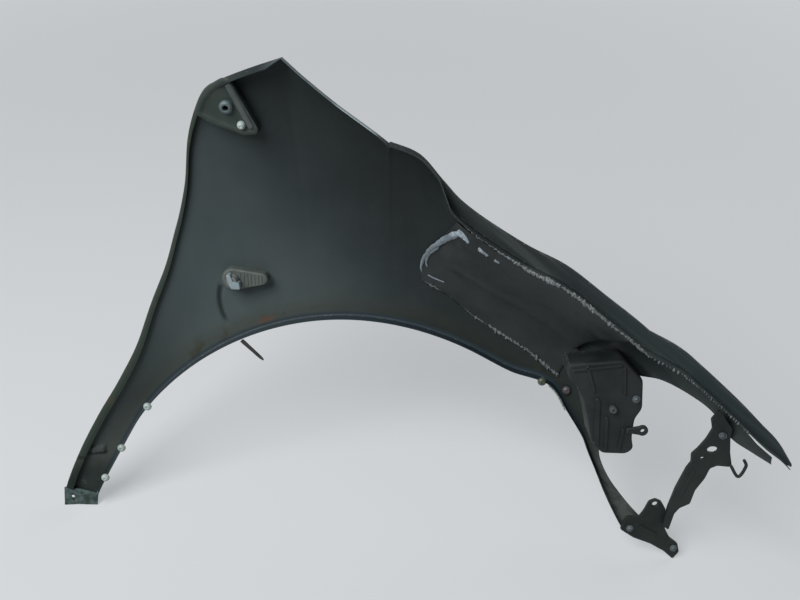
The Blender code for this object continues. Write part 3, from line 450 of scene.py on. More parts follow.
def solid_outline(outline, near, far):
    """A closed block whose outline is drawn in the side view, between two depths."""
    mesh = bmesh.new()
    rims = [[mesh.verts.new((x, y, z)) for x, z in outline] for y in (near, far)]
    for side in rims:
        mesh.faces.new(side)
    strip(mesh, rims[0] + rims[0][:1], rims[1] + rims[1][:1])
    bmesh.ops.recalc_face_normals(mesh, faces=mesh.faces)
    return mesh


def cut(piece, tool):
    """Cuts a closed tool shape, drawn upright, out of a piece."""
    tool = stand_up("tool", tool)
    change = piece.modifiers.new("Cut", "BOOLEAN")
    change.object = tool
    change.solver = "EXACT"
    settle(piece)
    bpy.data.objects.remove(tool)


class Pattern:
    """A value that varies over a surface. Its arithmetic adds the nodes that reckon it to their tree."""

    def __init__(self, socket):
        self.socket = socket

    def reckon(self, operation, *values):
        made = node(self.socket.id_data, "ShaderNodeMath", {"operation": operation})
        for socket, value in zip(made.inputs, values):
            fill(socket, value)
        return Pattern(made.outputs[0])

    def __mul__(self, other):
        return self.reckon("MULTIPLY", self, other)

    def __add__(self, other):
        return self.reckon("ADD", self, other)

    def __sub__(self, other):
        return self.reckon("SUBTRACT", self, other)

    def __rsub__(self, other):
        return self.reckon("SUBTRACT", other, self)

    def __or__(self, other):
        return self.reckon("MAXIMUM", self, other)

    def ramp(self, low, high, to_low=0.0, to_high=1.0, soft=True):
        """Brings one range to another, softly or in a straight line."""
        kind = {"interpolation_type": "SMOOTHSTEP" if soft else "LINEAR"}
        made = node(self.socket.id_data, "ShaderNodeMapRange", kind)
        for socket, value in zip(made.inputs, (self, low, high, to_low, to_high)):
            fill(socket, value)
        return Pattern(made.outputs[0])

    def falls(self, low, high):
        """1 below a range and 0 above it."""
        return self.ramp(low, high, 1.0, 0.0)

    def within(self, start, full, fades, end):
        """1 inside a band that comes and goes softly."""
        return self.ramp(start, full) * self.falls(fades, end)


def fill(socket, value):
    """Links a pattern or another node's output to a socket, or sets a number or colour on it."""
    if isinstance(value, Pattern):
        value = value.socket
    if isinstance(value, bpy.types.NodeSocket):
        socket.id_data.links.new(value, socket)
    else:
        socket.default_value = value


def node(tree, kind, settings=None, **sockets):
    """Adds a node with its settings and what goes into its sockets."""
    made = tree.nodes.new(kind)
    for key, value in (settings or {}).items():
        setattr(made, key, value)
    for key, value in sockets.items():
        fill(made.inputs[key.replace("_", " ")], value)
    return made


def surface(tree):
    """Places on the object, which its patterns follow."""
    return node(tree, "ShaderNodeTexCoord").outputs["Object"]


def mapped(place, **turn):
    """Places turned, moved or stretched for a pattern."""
    return node(place.id_data, "ShaderNodeMapping", Vector=place, **turn).outputs["Vector"]


def axes(place):
    """The X, Y and Z of places."""
    return [Pattern(output) for output in node(place.id_data, "ShaderNodeSeparateXYZ", Vector=place).outputs]


def cloud(place, scale, detail, roughness=0.5, **more):
    """Irregular noise over places."""
    sockets = dict(Vector=place, Scale=scale, Detail=detail, Roughness=roughness, **more)
    return Pattern(node(place.id_data, "ShaderNodeTexNoise", **sockets).outputs["Fac"])


def tint(share, a, b):
    """Mixes two colours by a share."""
    made = node(share.socket.id_data, "ShaderNodeMix", {"data_type": "RGBA"})
    for index, value in ((0, share), (6, a), (7, b)):
        fill(made.inputs[index], (*value, 1.0) if isinstance(value, tuple) else value)
    return made.outputs[2]


def shade(colour, share, more=0.0):
    """A colour made darker or lighter."""
    return tuple(min(share * c + more, 1) for c in colour)


def shared_effect(name, inputs, outputs):
    """A shader group for several finishes: its tree, what comes in, its places and its output sockets."""
    tree = bpy.data.node_groups.new(name, "ShaderNodeTree")
    for label, start in inputs:
        tree.interface.new_socket(label, in_out="INPUT", socket_type="NodeSocketFloat").default_value = start
    for label in outputs:
        tree.interface.new_socket(label, in_out="OUTPUT", socket_type="NodeSocketFloat")
    inside, out = tree.nodes.new("NodeGroupInput"), tree.nodes.new("NodeGroupOutput")
    return tree, [Pattern(socket) for socket in inside.outputs[:len(inputs)]], surface(tree), out.inputs


def grain_group():
    """Fine orange-peel of sprayed paint or the spark-eroded skin of moulded plastic."""
    inputs = (("Scale", 900.0), ("Speckle", 0.5))
    tree, (scale, speckle), place, out = shared_effect("fine_grain", inputs, ("Height", "Fleck"))
    peel = cloud(place, scale, 3.0, 0.6)
    fill(out["Height"], cloud(place, 180.0, 4.0, 0.65) * speckle + peel)
    fill(out["Fleck"], peel.ramp(0.60, 0.72))
    return tree


def soil_group():
    """Dust and overspray that lie in soft patches and runs, and stains between them."""
    inputs = (("Scale", 8.0), ("Amount", 0.5), ("Run", 0.3))
    tree, (scale, amount, run), place, out = shared_effect("soil", inputs, ("Mask", "Stain"))
    runs = cloud(mapped(place, Scale=(60.0, 60.0, 5.0)), 1.0, 3.0, 0.5)
    over = runs * run + cloud(place, scale, 6.0, 0.62) - (1.0 - amount)
    fill(out["Mask"], over.ramp(-0.05, 0.35))
    fill(out["Stain"], cloud(place, 23.0, 5.0, 0.7, Distortion=0.6).ramp(0.52, 0.70))
    return tree


def wear_group():
    """Paint rubbed off along bends and edges, broken up by chips, and fine scratches."""
    inputs = (("Edge", 0.0), ("Scale", 160.0), ("Amount", 0.5))
    tree, (edge, scale, amount), place, out = shared_effect("edge_wear", inputs, ("Mask", "Scratch"))
    fill(out["Mask"], (cloud(place, scale, 5.0, 0.7) + edge * amount).ramp(0.88, 1.02))
    slant = mapped(place, Rotation=(0.4, 0.9, 0.3), Scale=(900.0, 900.0, 16.0))
    lines = cloud(slant, 1.0, 2.0, 0.5).ramp(0.70, 0.78)
    fill(out["Scratch"], lines * cloud(place, 14.0, 2.0).ramp(0.5, 0.62))
    return tree


fine_grain, soil, edge_wear = grain_group(), soil_group(), wear_group()


class Finish:
    """A material as it is built up: a first colour, then soil, wear and marks laid over it."""

    def __init__(self, name, colour, **sockets):
        self.material = bpy.data.materials.new(name)
        self.material.use_nodes = True
        self.tree = self.material.node_tree
        self.shader = self.tree.nodes["Principled BSDF"]
        self.colour = colour
        self.feed(**sockets)

    def feed(self, **sockets):
        """Sets or links the shader's own sockets."""
        for key, value in sockets.items():
            fill(self.shader.inputs[key.replace("_", " ")], value)

    def read(self, name):
        """A value stored on the mesh."""
        return Pattern(node(self.tree, "ShaderNodeAttribute", {"attribute_name": name}).outputs["Fac"])

    def lay(self, effect, **values):
        """The outputs of a shared effect, with this finish's own values."""
        made = node(self.tree, "ShaderNodeGroup", {"node_tree": effect}, **values)
        return [Pattern(output) for output in made.outputs]

    def cover(self, share, colour):
        """Lays a colour over what is there."""
        self.colour = tint(share, self.colour, colour)

    def done(self, height, strength, distance=0.0004, **sockets):
        """The material, with its colour, its fine relief and what else varies over it."""
        relief = node(self.tree, "ShaderNodeBump", Height=height, Strength=strength, Distance=distance)
        self.feed(Base_Color=self.colour, Normal=relief.outputs["Normal"], **sockets)
        return self.material


def crease_shade_line(place):
    """A soft line of painted shade along the crease below the lamp, drawn about the crease's own centre."""
    upright = stand.inverted()
    centred = upright.translation - Vector((CREASE_CENTRE[0], 0, CREASE_CENTRE[1]))
    across, _, up = axes(mapped(place, Location=centred, Rotation=upright.to_euler()))
    far = across.reckon("SQRT", across * across + up * up)
    off = far.reckon("ABSOLUTE", far - CREASE_RADIUS) * (1 / CREASE_SHADE_WIDTH)
    ends = (up - CREASE_LOW).ramp(0.0, CREASE_FADE_LOW) * (CREASE_HIGH - up).ramp(0.0, CREASE_FADE_HIGH)
    return off.falls(0.1, 1.0) * across.reckon("LESS_THAN", across, 0.0) * ends


def primer_finish():
    """Dark primer: greyer and lighter with dust on the flank, with painted shade that takes it near black towards the
    hood edge and the nose.
    """
    coat = Finish("dark_primer_sheet", (0.058, 0.078, 0.080), Specular_IOR_Level=0.18, Coat_Roughness=0.20)
    place = surface(coat.tree)
    x, _, z = axes(place)
    lip, rim, folds = coat.read("from_lip"), coat.read("from_edge"), coat.read("bend")
    dust, stain = coat.lay(soil, Scale=7.0, Amount=0.52, Run=0.25)
    grain, fleck = coat.lay(fine_grain, Scale=1100.0, Speckle=0.7)
    chipped, scratched = coat.lay(edge_wear, Edge=folds, Scale=240.0, Amount=0.40)
    # painted shade: the coat is painted darker towards the hood and the nose, where the light falls off, near black
    # by the hood edge
    painted_shade = (z * 0.62 + x + cloud(place, 5.0, 4.0, 0.55) * 0.12).ramp(0.0, 0.31)
    coat.cover(painted_shade, (0.0085, 0.0128, 0.0138))
    coat.cover(x.ramp(0.14, 0.34, 0.0, 0.55), (0.026, 0.040, 0.043))
    # darker towards the bottom
    coat.cover(z.ramp(0.10, 0.32, 0.40, 0.0), (0.020, 0.028, 0.024))
    coat.cover(dust * (painted_shade * -0.22 + 0.30), (0.075, 0.088, 0.085))
    # dry overspray lies in streaks along the hood's side
    across = x * 0.69 + z
    lengthwise = node(coat.tree, "ShaderNodeCombineXYZ", X=across * 48.0, Y=x * 4.0).outputs["Vector"]
    streaks = cloud(lengthwise, 1.0, 3.0, 0.6).ramp(0.46, 0.60, 0.0, 0.75)
    hood_side = x.ramp(0.05, 0.14) * z.ramp(0.16, 0.22) * streaks * across.ramp(0.40, 0.47)
    coat.cover(hood_side, (0.036, 0.046, 0.044))
    # olive soil gathers towards the arch lip, less of it over the painted shade; the lip's free edge carries a
    # painted blue-grey reflection, and the lip is rusty in one place
    olive = lip.falls(0.010, 0.034) * stain.ramp(0.0, 1.0, 0.35, 0.85)
    coat.cover(olive * (painted_shade * -0.5 + 1.0), (0.036, 0.037, 0.022))
    coat.cover(lip.falls(0.003, 0.007) * 0.75, (0.019, 0.031, 0.042))
    # the folded hem and the skin beside it are darker, partly the hem's own olive-dark tone and partly painted shade
    # along the fold, and its outermost edge has a painted highlight
    rear = x.falls(-0.20, -0.13)
    hem = rear * rim.falls(0.002, 0.016)
    coat.cover(hem * 0.85, (0.013, 0.021, 0.015))
    coat.cover(rear * rim.within(-0.0072, -0.0048, -0.0010, 0.0010) * 0.35, (0.046, 0.058, 0.046))
    coat.cover(hem * stain * 0.40, (0.060, 0.042, 0.022))
    lip_rust = lip.within(0.004, 0.007, 0.009, 0.015) * x.within(-0.158, -0.150, -0.142, -0.128)
    coat.cover(lip_rust * 0.55, (0.105, 0.052, 0.030))
    # the cowl flange is painted paler, partly worn paint broken up by stains and partly a painted highlight where the
    # flange faces the light; along a short stretch it is near white, partly bare steel and partly a painted highlight
    worn = rim.falls(-0.0045, -0.0010) * stain.ramp(0.0, 0.6, 1.0, 0.4)
    coat.cover(x.within(-0.135, -0.070, -0.006, 0.004) * worn, (0.072, 0.098, 0.105))
    coat.cover(x.within(-0.050, -0.036, -0.010, 0.002) * rim.falls(-0.0040, -0.0020), (0.24, 0.29, 0.31))
    # the front leg's end is scuffed
    scuffs = cloud(place, 60.0, 4.0, 0.6).ramp(0.38, 0.60, 0.25, 0.95)
    coat.cover(x.ramp(0.17, 0.21) * z.falls(0.07, 0.16) * scuffs, (0.085, 0.095, 0.088))
    # the leg just above the foot is the darkest part of the rear, with a painted shadow under the pressed pad, and
    # the foot's flange is chalky
    mottle = cloud(place, 85.0, 5.0, 0.7)
    pad_shadow = z.within(0.0670, 0.0700, 0.0725, 0.0745) * x.falls(-0.362, -0.358)
    above_foot = z.falls(0.040, 0.072) * x.falls(-0.34, -0.32) | pad_shadow
    coat.cover(above_foot * mottle.ramp(0.56, 0.70, 0.85, 0.25), (0.009, 0.015, 0.013))
    chalk = tint(mottle.ramp(0.44, 0.62), (0.068, 0.100, 0.098), (0.022, 0.036, 0.030))
    coat.cover(lip.falls(0.9 * ON_FOOT, 0.6 * ON_FOOT), chalk)
    coat.cover(fleck * 0.18, (0.080, 0.092, 0.092))
    coat.cover((chipped | scratched * 0.5) * 0.5, (0.12, 0.14, 0.145))
    # painted shade in the crease below the lamp
    coat.cover(crease_shade_line(place) * 0.80, (0.010, 0.014, 0.012))
    # the outer face carries the car's black gloss paint, under a clear coat
    outward = axes(node(coat.tree, "ShaderNodeNewGeometry").outputs["True Normal"])[1]
    outside = outward.ramp(0.35, 0.55) * lip.ramp(0.001, 0.003)
    coat.cover(outside, tint(dust, (0.0060, 0.0075, 0.0080), (0.020, 0.023, 0.024)))
    # the hem and the top flange are duller than the flank
    top = z.ramp(0.49, 0.51) * x.falls(-0.125, -0.105) * rim.falls(0.0, 0.002)
    rough = dust.ramp(0.0, 1.0, 0.45, 0.65, False) + outside * -0.24 + (hem | top) * 0.30
    return coat.done(grain, 0.22, Roughness=rough, Coat_Weight=outside * 0.7)


LAMP_BEARING = 108.13
LAMP_ABOVE_ARCH = 0.0707
LAMP_LENGTH = 0.056
LAMP_HEIGHT = 0.028
LAMP_TIP = 0.015
LAMP_RIM = 0.002
FOOT_HOLE_OFF = (-0.002, -0.012)


def round_line(place, width, count=24):
    """A round outline in the side view."""
    turns = [2 * pi * k / count for k in range(count)]
    return [(place[0] + width / 2 * cos(a), place[1] + width / 2 * sin(a)) for a in turns]


def sheet(piece, thickness, even=False):
    """Gives a drawn face its sheet's thickness."""
    wall = piece.modifiers.new("Sheet", "SOLIDIFY")
    wall.thickness = thickness
    wall.offset = 1.0
    wall.use_even_offset = even
    settle(piece)


def sharp_beyond(piece, angle):
    """Keeps edges sharper than an angle crisp in the shading."""
    piece.data.set_sharp_from_angle(angle=radians(angle))


panel = stand_up("fender_pressing", panel_mesh(), primer_finish())
sheet(panel, SHEET, even=True)
foot_at = panel_column(DOOR_EDGE[0][0])[FOOT_HOLE_ROW]
foot_hole = round_line((foot_at.x + FOOT_HOLE_OFF[0], foot_at.z + FOOT_HOLE_OFF[1]), FOOT_HOLE, 12)
for outline, near, far in (
    (teardrop(-LAMP_RIM), -0.05, 0.06), (NOSE_SLOT, -0.30, -0.10), (foot_hole, -0.03, 0.02),
):
    cut(panel, solid_outline(outline, near, far))
sharp_beyond(panel, 50)
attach(panel, "root")
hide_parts("fender_panel")


# Upper rear gusset: a pressed steel bracket that boxes in the corner of the panel and takes the hinge-side
# bolt. Its rim stands a little above the face, and its skirts are spot-welded to the panel.
GUSSET_SHEET = 0.0015
GUSSET_OUTLINE = (
    (-0.160, 0.599), (-0.148, 0.618), (-0.133, 0.627), (-0.124, 0.630), (-0.111, 0.608),
    (-0.099, 0.582), (-0.101, 0.577), (-0.116, 0.576), (-0.144, 0.588),
)
GUSSET_LIFTS = ((0, 0.011), (3, 0.014), (5, 0.017))
# Outline of the face with its thin edge flange, which reaches over the hem to the corner of the panel
GUSSET_REACH = (
    (-0.1645, 0.5990), (-0.1570, 0.6150), (-0.1465, 0.6275), (-0.1300, 0.6365), (-0.1228, 0.6355),
    (-0.1100, 0.6085), (-0.0980, 0.5820), (-0.1000, 0.5765), (-0.1140, 0.5755), (-0.1440, 0.5860),
)
GUSSET_BOLT = (-0.129, 0.607)
GUSSET_BOLT_HOLE = 0.0065
GUSSET_DISH = 0.0016
GUSSET_SKIRTS = (0.10, 0.06, 0.06, 0.10, 0.30, 1.0, 1.0, 1.0, 1.0, 1.0)
GUSSET_RIB = ((-0.1238, 0.6300), (-0.1050, 0.5860), 0.0072, 0.0016)  # start, end, width and rise
GUSSET_CORNER = 0.0045
# The face from its rim inwards: how far each ring is drawn in, and its height over the flat face
GUSSET_RINGS = ((0.0006, 0.0), (0.0028, 0.0003), (0.0042, 0.0), (0.0062, -0.8 * GUSSET_DISH), (0.0078, -GUSSET_DISH))


def gusset_plane():
    """A corner of the gusset's face and its direction away from the panel."""
    spots = []
    for k, lift in GUSSET_LIFTS:
        x, z = GUSSET_OUTLINE[k]
        spots.append(Vector((x, skin_depth(x, z) - lift, z)))
    normal = (spots[1] - spots[0]).cross(spots[2] - spots[0]).normalized()
    return spots[0], normal if normal.y < 0 else -normal


gusset_corner, gusset_normal = gusset_plane()


def on_gusset(x, z, above=0.0):
    """A point over the gusset's face."""
    off = gusset_normal.x * (x - gusset_corner.x) + gusset_normal.z * (z - gusset_corner.z)
    return Vector((x, gusset_corner.y - off / gusset_normal.y, z)) + gusset_normal * above


def eased(outline, radius, count=4):
    """A closed outline with its corners rounded."""
    points = [Vector((x, 0, z)) for x, z in outline]
    eased_points = []
    for k, corner in enumerate(points):
        eased_points += bend(points[k - 1], corner, points[(k + 1) % len(points)], radius, count)
    return [(p.x, p.z) for p in eased_points]


def inset(outline, width):
    """An outline drawn in towards its middle."""
    mid_x = sum(x for x, z in outline) / len(outline)
    mid_z = sum(z for x, z in outline) / len(outline)
    drawn = []
    for x, z in outline:
        share = 1 - width / hypot(x - mid_x, z - mid_z)
        drawn.append((mid_x + (x - mid_x) * share, mid_z + (z - mid_z) * share))
    return drawn


def bar_outline(start, end, width, count=5):
    """A straight bar with round ends, drawn in the side view."""
    a, b = Vector((start[0], 0, start[1])), Vector((end[0], 0, end[1]))
    lean = atan2(b.z - a.z, b.x - a.x)
    points = []
    for middle, turn in ((b, -pi / 2), (a, pi / 2)):
        for k in range(count + 1):
            angle = lean + turn + pi * k / count
            points.append((middle.x + width / 2 * cos(angle), middle.z + width / 2 * sin(angle)))
    return points


def ring_faces(mesh, rings):
    """Quads round closed rings of vertices."""
    for left, right in zip(rings, rings[1:]):
        strip(mesh, left + left[:1], right + right[:1])


def close_up(mesh, rings):
    """A closed body from its rings, covered at both ends, with its faces outwards."""
    ring_faces(mesh, rings)
    mesh.faces.new(rings[0])
    mesh.faces.new(rings[-1])
    bmesh.ops.recalc_face_normals(mesh, faces=mesh.faces)


def mark_bends(mesh, angle=25.0):
    """Stores how near each vertex is to a sharp bend, for the worn edges."""
    layer = mesh.verts.layers.float.get("bend") or mesh.verts.layers.float.new("bend")
    mesh.normal_update()
    for edge in mesh.edges:
        if len(edge.link_faces) != 2 or edge.calc_face_angle(0.0) > radians(angle):
            for vert in edge.verts:
                vert[layer] = 1.0


def gusset_mesh():
    """Dished face, raised rim and skirts."""
    mesh = bmesh.new()
    rim = eased(GUSSET_REACH, GUSSET_CORNER)
    skirts = [GUSSET_SKIRTS[k // 5] for k in range(len(rim))]
    skirts = [(skirts[k - 1] + skirts[k] + skirts[(k + 1) % len(skirts)]) / 3 for k in range(len(skirts))]
    rows = []
    for share in (1.0, 0.66, 0.33, 0.12):
        row = []
        for (x, z), skirt in zip(rim, skirts):
            seat = Vector((x, skin_depth(x, z) - 2 * SEAT_GAP, z))
            row.append(on_gusset(x, z).lerp(seat, share * skirt))
        rows.append(row)
    rows += [[on_gusset(x, z, lift) for x, z in inset(rim, width)] for width, lift in GUSSET_RINGS]
    line = inset(rim, GUSSET_RINGS[-1][0])
    mid_x, mid_z = sum(x for x, z in line) / len(line), sum(z for x, z in line) / len(line)
    for share in (0.6, 0.3):
        row = [(mid_x + (x - mid_x) * share, mid_z + (z - mid_z) * share) for x, z in line]
        rows.append([on_gusset(x, z, -GUSSET_DISH) for x, z in row])
    rings = [[mesh.verts.new(point) for point in row] for row in rows]
    ring_faces(mesh, rings)
    middle = mesh.verts.new(on_gusset(mid_x, mid_z, -GUSSET_DISH))
    for k, vert in enumerate(rings[-1]):
        mesh.faces.new((vert, rings[-1][(k + 1) % len(rings[-1])], middle))
    bmesh.ops.recalc_face_normals(mesh, faces=mesh.faces)
    if sum(face.normal.dot(gusset_normal) * face.calc_area() for face in mesh.faces) < 0:
        bmesh.ops.reverse_faces(mesh, faces=mesh.faces)
    mark_bends(mesh)
    return mesh


def gusset_rib_mesh():
    """A flat rib with rounded edges along the front of the gusset's face."""
    start, end, width, rise = GUSSET_RIB
    mesh = bmesh.new()
    rings = []
    for narrower, above in ((0.0, 0.0), (0.0003, 0.45), (0.0009, 0.8), (0.0018, 1.0), (0.0030, 1.0)):
        line = bar_outline(start, end, width - 2 * narrower)
        rings.append([mesh.verts.new(on_gusset(x, z, GUSSET_SHEET + above * rise - 0.0002)) for x, z in line])
    close_up(mesh, rings)
    mark_bends(mesh)
    return mesh


def coated_finish(name, colour, worn, roughness, grain_scale, wear_share, dusty=0.25, bare=0.6):
    """A coated or moulded surface: grain, dust in patches, scratches and rubbed edges."""
    coat = Finish(name, colour, Specular_IOR_Level=0.25)
    dust, stain = coat.lay(soil, Scale=26.0, Amount=0.5, Run=0.3)
    grain, fleck = coat.lay(fine_grain, Scale=grain_scale, Speckle=0.6)
    chipped, scratched = coat.lay(edge_wear, Edge=coat.read("bend"), Scale=420.0, Amount=wear_share)
    pale = shade(worn, 0.6, 0.03)
    coat.cover(dust * dusty, pale)
    coat.cover(stain * 0.35, shade(colour, 0.6))
    coat.cover(fleck * 0.2, pale)
    coat.cover((chipped | scratched) * bare, worn)
    rough = dust.ramp(0.0, 1.0, roughness, min(roughness + 0.2, 0.9), False)
    return coat.done(grain, 0.25, Roughness=rough)


def facing(place, direction):
    """A place whose own +Z looks along a direction."""
    turn = Vector(direction).to_track_quat("Z", "Y").to_matrix().to_4x4()
    return Matrix.Translation(place) @ turn


def turned_mesh(profile, place, sides=32):
    """A round piece from radius and height pairs, spun about its own axis; closed on the axis or as a ring."""
    mesh = bmesh.new()
    rings = []
    for radius, height in profile:
        if radius < 1e-7:
            rings.append([mesh.verts.new((0, 0, height))])
        else:
            turns = [2 * pi * k / sides for k in range(sides)]
            rings.append([mesh.verts.new((radius * cos(a), radius * sin(a), height)) for a in turns])
    closed = len(rings[0]) > 1
    for left, right in zip(rings, rings[1:] + (rings[:1] if closed else [])):
        if len(left) > 1 and len(right) > 1:
            ring_faces(mesh, (left, right))
        elif len(left) != len(right):
            tip, ring = (left[0], right) if len(left) == 1 else (right[0], left)
            for k in range(sides):
                mesh.faces.new((tip, ring[k], ring[(k + 1) % sides]))
    bmesh.ops.recalc_face_normals(mesh, faces=mesh.faces)
    mark_bends(mesh, 35.0)
    bmesh.ops.transform(mesh, matrix=place, verts=mesh.verts)
    return mesh


pressed_coat = coated_finish("pressed_bracket_coat", (0.019, 0.031, 0.026), (0.10, 0.11, 0.10), 0.48, 800.0, 0.38)
gusset = stand_up("upper_gusset_bracket", gusset_mesh(), pressed_coat)
sheet(gusset, GUSSET_SHEET)
bolt_profile = ((0, 0.01), (GUSSET_BOLT_HOLE / 2, 0.01), (GUSSET_BOLT_HOLE / 2, -0.01), (0, -0.01))
cut(gusset, turned_mesh(bolt_profile, facing(on_gusset(*GUSSET_BOLT), gusset_normal)))
# the rib gets a lighter copy of the bracket's coat: partly painted light on the raised rib, partly rubbed paint
lit_rubbed_coat = coated_finish(
    "lit_rubbed_bracket_coat", (0.050, 0.062, 0.060), (0.16, 0.18, 0.175), 0.46, 800.0, 0.42, 0.4,
)
gusset_rib = stand_up("upper_gusset_rib", gusset_rib_mesh(), lit_rubbed_coat)
for piece in (gusset, gusset_rib):
    sharp_beyond(piece, 50)
    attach(piece, "root")
    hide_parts("upper_rear_gusset")


# Weld nut: a zinc-plated ring projection-welded round the bolt hole; only its collar shows, dulled by
# paint mist. The white nylon plug below it is a push-in blanking plug with a shallow round recess in its dome.
WELD_NUT = 0.015
WELD_NUT_HEIGHT = 0.004
PLUG_AT = (-0.115, 0.587)
PLUG = 0.0095


def plated_finish(name, colour, roughness, metallic, soiled):
    """Zinc plate: satin metal with white bloom and dark soil in patches."""
    plate = Finish(name, colour, Metallic=metallic)
    dust, stain = plate.lay(soil, Scale=90.0, Amount=0.5, Run=0.4)
    grain, _ = plate.lay(fine_grain, Scale=1600.0, Speckle=0.5)
    plate.cover(dust * soiled, shade(colour, 0.3))
    plate.cover(stain * 0.5, shade(colour, 1.3))
    return plate.done(grain, 0.15, Roughness=dust.ramp(0.0, 1.0, roughness, roughness + 0.25, False))


def nylon_finish(name, colour, aged):
    """Moulded nylon, slightly translucent, greyed by dust and yellowed in patches."""
    nylon = Finish(
        name, colour, Roughness=0.45, Subsurface_Weight=0.12, Subsurface_Radius=(0.002, 0.002, 0.0018),
    )
    dust, stain = nylon.lay(soil, Scale=70.0, Amount=0.48, Run=0.2)
    grain, _ = nylon.lay(fine_grain, Scale=1300.0, Speckle=0.5)
    nylon.cover(dust * 0.55, aged)
    nylon.cover(stain * 0.25, shade(aged, 0.45))
    return nylon.done(grain, 0.18)


def sized(width, height, profile):
    """A turned piece's profile from shares of its width and height."""
    return [(radius * width, level * height) for radius, level in profile]


zinc = plated_finish("zinc_plate", (0.150, 0.180, 0.195), 0.42, 0.6, 0.6)
misted_zinc = plated_finish("misted_zinc", (0.090, 0.125, 0.130), 0.5, 0.3, 0.6)
white_nylon = nylon_finish("white_nylon_moulding", (0.36, 0.43, 0.41), (0.15, 0.17, 0.150))
bore, foot = GUSSET_BOLT_HOLE / WELD_NUT, -GUSSET_DISH / WELD_NUT_HEIGHT
collar = sized(WELD_NUT, WELD_NUT_HEIGHT, (
    (bore / 2, 0.875), (bore / 2 + 0.0333, 1.0), (0.350, 1.0), (0.375, 0.95), (0.485, 0.62), (0.5, 0.5),
    (0.5, foot), (bore / 2, foot),
))
on_face = GUSSET_SHEET + 0.0003
collar_mesh = turned_mesh(collar, facing(on_gusset(*GUSSET_BOLT, on_face), gusset_normal), 48)
weld_nut = stand_up("weld_nut_collar", collar_mesh, misted_zinc)
sharp_beyond(weld_nut, 40)
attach(weld_nut, "root")
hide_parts("gusset_weld_nut")

foot = -GUSSET_DISH / PLUG
dome = sized(PLUG, PLUG, (
    (0, 0.46), (0.12, 0.46), (0.14, 0.49), (0.24, 0.45), (0.36, 0.35), (0.45, 0.20), (0.50, 0.06), (0.50, foot),
    (0, foot),
))
plug_mesh = turned_mesh(dome, facing(on_gusset(*PLUG_AT, on_face), gusset_normal))
plug = stand_up("gusset_blanking_plug", plug_mesh, white_nylon)
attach(plug, "root")
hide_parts("gusset_plug")


# Closing sheet: a second thin pressing inside the front half, tucked under the hood ledge and spot-welded
# along its lower edge. It has a shallow stiffening bead along it and is the darkest sheet of the fender.
CLOSING_SHEET = 0.0008
CLOSING_REAR = ((0.119, 0.484), (0.105, 0.461), (0.086, 0.434), (0.080, 0.416), (0.082, 0.397))
CLOSING_LOWER = (
    (0.082, 0.397), (0.110, 0.383), (0.142, 0.357), (0.174, 0.337), (0.209, 0.316), (0.246, 0.286),
)
CLOSING_FIRST, CLOSING_LAST = 72.5, 46.5
CLOSING_BELLY = 0.045
CLOSING_BEAD = 0.0022
CLOSING_BEAD_AT, CLOSING_BEAD_HALF = 0.44, 0.06  # middle and half width, as shares of the sheet's height
LEDGE_TUCK = 0.001


def ledge_corner(bearing):
    """The inboard edge of the hood ledge, on its underside."""
    cage = panel_cage(bearing)
    across = across_of(cage[0], cage[3])
    step, ledge = folded_edge(across, HOOD_FOLD)
    return cage[3] + step + ledge - across * SEAT_GAP - ledge.normalized() * LEDGE_TUCK


def on_line(points, share):
    """A point at a share of the way along a row of points."""
    place = share * (len(points) - 1)
    k = min(int(place), len(points) - 2)
    return points[k].lerp(points[k + 1], place - k)


def on_skin(places):
    """Seated places on the panel's inner face."""
    return [Vector((x, skin_depth(x, z) - SEAT_GAP, z)) for x, z in places]


def closing_mesh():
    """The sheet from its lower edge to the ledge, with its stiffening bead."""
    count, rows = 84, 36
    rear, lower = on_skin(CLOSING_REAR), on_skin(CLOSING_LOWER)
    first = ledge_corner(CLOSING_FIRST)
    mesh = bmesh.new()
    near_rim = mesh.verts.layers.float.new("bend")
    grid = []
    for i in range(count + 1):
        s = i / count
        high, low = ledge_corner(CLOSING_FIRST + (CLOSING_LAST - CLOSING_FIRST) * s), on_line(lower, s)
        column = []
        for j in range(rows + 1):
            v = j / rows
            point = low.lerp(high, v) + (on_line(rear, 1 - v) - rear[-1].lerp(first, v)) * (1 - s) ** 4
            point.y += CLOSING_BELLY * (0.2 + 0.8 * s) * sin(pi * v)
            point.y = min(point.y, skin_depth(point.x, point.z) - SEAT_GAP)
            along = min(max((s - 0.12) / 0.08, 0.0), 1.0) * min(max((0.9 - s) / 0.08, 0.0), 1.0)
            off = abs(v - CLOSING_BEAD_AT) / CLOSING_BEAD_HALF
            point.y -= CLOSING_BEAD * along * max(0.0, 1 - off * off) ** 2
            vert = mesh.verts.new(point)
            vert[near_rim] = max(0.0, 1 - min(j, i, count - i) / 2)
            column.append(vert)
        grid.append(column)
    for left, right in zip(grid, grid[1:]):
        strip(mesh, right, left)
    return mesh


dark_sheet = coated_finish(
    "dark_closing_sheet", (0.0125, 0.0165, 0.0175), (0.075, 0.085, 0.088), 0.52, 1000.0, 0.34, 0.16, 0.5,
)
closing = stand_up("closing_sheet", closing_mesh(), dark_sheet)
sheet(closing, CLOSING_SHEET)
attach(closing, "root")
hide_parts("inner_reinforcement")


